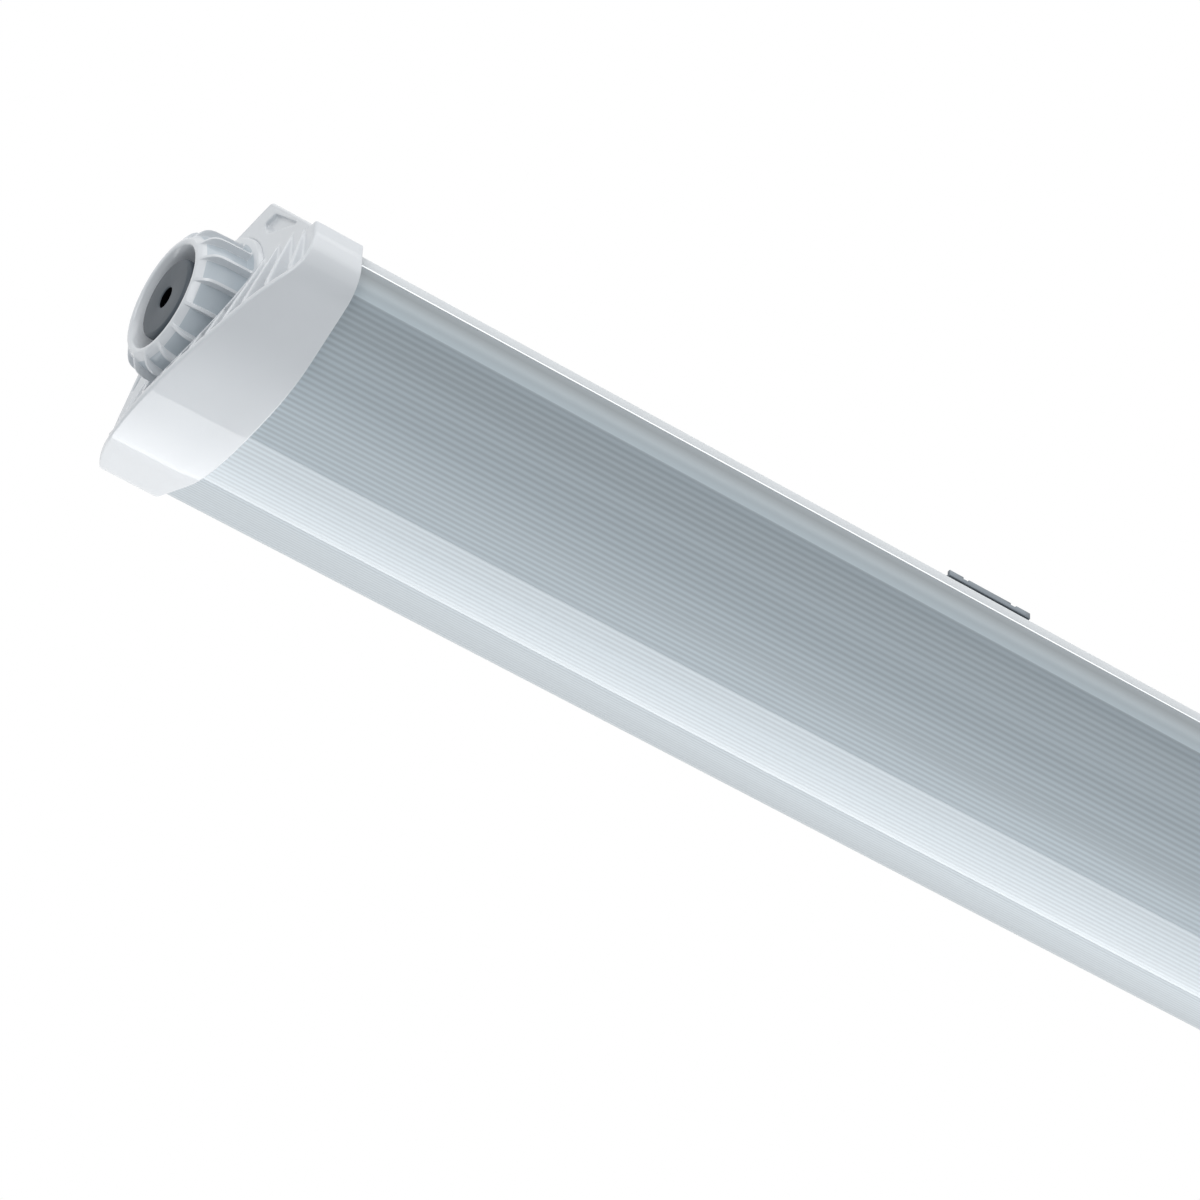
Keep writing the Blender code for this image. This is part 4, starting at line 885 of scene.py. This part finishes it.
def lens_material():
    """Frosted plastic: fine stripes of painted shade that stand for the light and shade on the ribs, faint
    streaks along them, and painted shade that is darker where the ribs begin and paler in the middle.

    The stripes go as the cosine of the arc length over the ribs' pitch.
    """
    made, tree, node = shader("frosted_lens", lens_colour, roughness=0.42, coat=0.78, coat_roughness=0.06)
    node.inputs["Coat IOR"].default_value = lens_gloss
    along = along_of(tree)
    streaks = noise(tree, scale=60.0, detail=3.0, stretch=(0.02, 1.0, 1.0))
    # Painted shade: the colour goes lighter and darker with the ribs' pitch, in place of the ribs' own
    # shading
    wave = math_node(tree, "COSINE", math_node(tree, "MULTIPLY", along, FULL_TURN / rib_pitch))
    total = math_node(tree, "MULTIPLY_ADD", wave, rib_shade_strength, streaks)
    stripes = spread_ramp(tree, total, lens_colour, rib_shade_spread)
    # Painted shade: the colour is scaled from darker where the ribs begin to paler in the middle
    share = math_node(tree, "MULTIPLY", along, 1 / ribbed_run)
    shades = [(place, (shade,) * 3) for place, shade in lens_painted_shades]
    tree.links.new(multiplied(tree, stripes, ramp(tree, share, shades)), node.inputs["Base Color"])
    return made


def smooth_lens_material():
    """The lens's plain edge, with painted shade and painted highlight across it that stand for the light on a
    moulded lip.
    """
    made, tree, node = shader("smooth_lens", smooth_colour, roughness=0.4, coat=0.35, coat_roughness=0.2)
    # Painted shade and painted highlight: the colour is scaled across the plain edge by these stops
    share = math_node(tree, "MULTIPLY_ADD", along_of(tree), 1 / smooth_run, 1.0)
    stops = [(place, tuple(c * shade for c in smooth_colour)) for place, shade in smooth_painted_shades]
    tree.links.new(ramp(tree, share, stops), node.inputs["Base Color"])
    return made


white = moulded("moulded_white", (0.78, 0.80, 0.82), roughness=0.34, coat=0.55, coat_roughness=0.05)
shell_plastic = moulded("shell_plastic", (0.80, 0.82, 0.83), roughness=0.4, coat=0.25, coat_roughness=0.15)
frosted = lens_material()
smooth_lens = smooth_lens_material()
# Painted shade for the nut's flutes: a darker, bluer copy of the white plastic
flute_painted_shade = moulded("flute_painted_shade", (0.56, 0.615, 0.655), roughness=0.34, coat=0.3, coat_roughness=0.1)
rubber = rubber_material()
foam = moulded("gasket_foam", (0.28, 0.28, 0.29), roughness=0.85, coat=0.0, spread=0.08, texture=0.5)
nylon = moulded("natural_nylon", (0.78, 0.78, 0.74), roughness=0.45, coat=0.1)
hole_painted_shade = hole_shade_material()
clip_steel = brushed("spring_steel", (0.155, 0.175, 0.195), roughness=0.36)
bead_finish = brushed("polished_bead", (0.78, 0.81, 0.83), roughness=0.2, spread=0.03)
steel = brushed("stainless_sheet", (0.50, 0.52, 0.53), roughness=0.32)
plated = brushed("plated_steel", (0.66, 0.66, 0.64), roughness=0.3, stretch=(1, 1, 1), spread=0.05)
tray_paint = moulded("tray_paint", (0.82, 0.82, 0.82), roughness=0.45, coat=0.1, spread=0.01, texture=0.3)
driver_case = brushed("driver_case", (0.60, 0.62, 0.64), roughness=0.4, stretch=(0.05, 1, 1), spread=0.05)
board_mask = moulded("board_mask", (0.84, 0.84, 0.81), roughness=0.4, coat=0.3, spread=0.01)
brown = moulded("brown_insulation", (0.20, 0.09, 0.04), roughness=0.4)
blue = moulded("blue_insulation", (0.05, 0.16, 0.45), roughness=0.4)
green = moulded("green_insulation", (0.20, 0.45, 0.08), roughness=0.4)
pale = moulded("white_insulation", (0.80, 0.80, 0.80), roughness=0.4)
phosphor = moulded("led_phosphor", (0.85, 0.68, 0.22), roughness=0.5, coat=0.3, spread=0.03)

node_finishes = {
    "housing": shell_plastic, "ceiling_clip": clip_steel, "slip_ring": nylon, "end_gasket": foam,
    "gear_tray": tray_paint, "led_driver": driver_case, "terminal_block": nylon, "cable_clamp": nylon,
    "grommet": rubber, "blind_plug": rubber, "earth_lug": steel, "earth_wire": green, "live_wire": brown,
    "neutral_wire": blue, "led_lead": pale, "board_link": pale, "led_board": board_mask,
}


def finish_of(name):
    """The finish of a solid, by its name."""
    if "screw" in name:
        return plated
    return next((finish for start, finish in node_finishes.items() if name.startswith(start)), white)


def is_board(name):
    """Whether a node is one of the boards with the lights, not a screw in it."""
    return name.startswith("led_board") and "screw" not in name


for name, node in frame["nodes"].items():
    node.data.materials.clear()
    node.data.materials.append(finish_of(name))

# Pieces
build_lens(frosted, smooth_lens)
build_seam_beads(bead_finish)
build_caps(white)
for end in ("a", "b"):
    build_nut(end, white, flute_painted_shade)
build_rubbers(rubber, hole_painted_shade)
for end in ("a", "b"):
    for name, width in end_edges.items():
        softened(f"{name}_{end}", finish_of(name), width)
for name, width in other_edges.items():
    softened(name, finish_of(name), width)
led_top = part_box("led_board_far_1")[0][2] + led_height - led_margin
for name in frame["nodes"]:
    if is_board(name):
        made = softened(name, board_mask, board_edge)
        paint(made, face_centres(made)[:, 2] < led_top, phosphor)
    elif "screw" in name:
        softened(name, plated, screw_edge)

# Camera, at the photograph's viewing angle; lengths in the picture are in its own pixels
picture_side = 1200.0
focal_pixels = 6200.0
vanishing_pixel = (12416.0, 6560.0)
camera_roll = math.radians(-36.5)
pixels_per_mm = 3.88
middle_from_anchor = (236.4, 343.0)
sensor_width = 36.0
camera_reach = 200.0


def camera_axes():
    """The picture's right, down and forward, in the part's axes.

    The part's length points at its vanishing point, and the roll turns the other two axes about it.
    """
    along = Vector((*vanishing_pixel, focal_pixels)).normalized()
    up = Vector((0.0, -1.0, 0.0))
    raised = (up - along * along.dot(up)).normalized()
    beside = raised.cross(along)
    across = math.cos(camera_roll) * beside + math.sin(camera_roll) * raised
    above = -math.sin(camera_roll) * beside + math.cos(camera_roll) * raised
    return [Vector((along[k], across[k], above[k])) for k in range(3)]


def build_camera():
    """A camera that sees the anchor, a corner of the near cap's rear edge, where the photograph has it."""
    right, down, forward = camera_axes()
    anchor = Vector((-cap_rear_x, -cap_half_width, seam_z))
    beside, below = (offset / focal_pixels for offset in middle_from_anchor)
    depth = focal_pixels / pixels_per_mm
    placed = Matrix((right, -down, -forward)).transposed().to_4x4()
    placed.translation = anchor + (beside * right + below * down - forward) * depth * MM
    data = bpy.data.cameras.new("camera")
    data.sensor_fit = "HORIZONTAL"
    data.sensor_width = sensor_width
    data.lens = sensor_width * focal_pixels / picture_side
    data.clip_end = camera_reach
    camera = bpy.data.objects.new("camera", data)
    camera.matrix_world = placed
    bpy.context.scene.collection.objects.link(camera)
    bpy.context.scene.camera = camera


# Light, floor and background
key_distance = 2.6
key_edges = (math.radians(-48.5), math.radians(-9.5))
key_x = 1.4
key_length = 4.8
key_power = 71.0
floor_half = 9.0
floor_z = -2.4
floor_grey = 0.93
floor_roughness = 0.9
sky_colour = (0.90, 0.95, 1.0, 1)
sky_strength = 0.405
end_on_from = 0.5

# The other panels' names, centres, targets, sizes and powers
panels = (
    ("top_panel", (-0.2, -1.5, 1.8), (-0.2, 0.0, -0.03), (3.0, 2.0), 20.0),
    ("end_panel", (-2.8, -1.7, 0.25), (-0.6, 0.0, -0.03), (1.8, 1.8), 26.0),
    ("right_panel", (2.4, -0.9, -1.6), (0.8, 0.0, -0.05), (1.4, 1.4), 9.5),
)


def softbox(name, centre, target, size, power):
    """A soft panel that faces its target.

    Its first side runs along the part as nearly as it can, or across it where the panel faces the part's end.
    """
    data = bpy.data.lights.new(name, "AREA")
    data.shape = "RECTANGLE"
    data.size, data.size_y = size
    data.energy = power
    lamp = bpy.data.objects.new(name, data)
    bpy.context.scene.collection.objects.link(lamp)
    lamp.visible_camera = False
    back = (Vector(centre) - Vector(target)).normalized()
    side = Vector((1, 0, 0)) if abs(back.x) < end_on_from else Vector((0, 1, 0))
    rise = back.cross(side).normalized()
    side = rise.cross(back)
    placed = Matrix((side, rise, back)).transposed().to_4x4()
    placed.translation = Vector(centre)
    lamp.matrix_world = placed


def key_softbox():
    """The bright band under the lens is this panel's mirror image, which sets the panel's edges."""
    low, high = key_edges
    middle = (low + high) / 2
    height = 2 * key_distance * math.tan((high - low) / 2)
    centre = (key_x, key_distance * math.cos(middle), key_distance * math.sin(middle) + seam_z)
    softbox("key_panel", centre, (key_x, 0.0, seam_z), (key_length, height), key_power)


def build_floor():
    """A plain pale floor far under the part."""
    material = bpy.data.materials.new("floor")
    material.use_nodes = True
    plain = material.node_tree.nodes["Principled BSDF"]
    plain.inputs["Base Color"].default_value = (floor_grey, floor_grey, floor_grey, 1)
    plain.inputs["Roughness"].default_value = floor_roughness
    signs = ((-1, -1), (1, -1), (1, 1), (-1, 1))
    corners = [(x * floor_half, y * floor_half, floor_z) for x, y in signs]
    mesh = mesh_of("floor", corners, [(0, 1, 2, 3)])
    mesh.materials.append(material)
    floor = bpy.data.objects.new("floor", mesh)
    bpy.context.scene.collection.objects.link(floor)


def build_world():
    """A background of plain light, which the camera, reflections and clear materials see as white."""
    world = bpy.data.worlds.new("studio")
    bpy.context.scene.world = world
    world.use_nodes = True
    tree = world.node_tree
    plain = tree.nodes["Background"]
    plain.inputs["Color"].default_value = sky_colour
    plain.inputs["Strength"].default_value = sky_strength
    glow = tree.nodes.new("ShaderNodeBackground")
    glow.inputs["Color"].default_value = (1, 1, 1, 1)
    path = tree.nodes.new("ShaderNodeLightPath")
    either = math_node(tree, "MAXIMUM", path.outputs["Is Camera Ray"], path.outputs["Is Glossy Ray"])
    any_of = math_node(tree, "MAXIMUM", either, path.outputs["Is Transmission Ray"])
    mix = tree.nodes.new("ShaderNodeMixShader")
    tree.links.new(any_of, mix.inputs["Fac"])
    tree.links.new(plain.outputs[0], mix.inputs[1])
    tree.links.new(glow.outputs[0], mix.inputs[2])
    tree.links.new(mix.outputs[0], tree.nodes["World Output"].inputs["Surface"])


build_camera()
key_softbox()
for panel in panels:
    softbox(*panel)
build_floor()
build_world()
bpy.context.scene.view_settings.view_transform = "Standard"
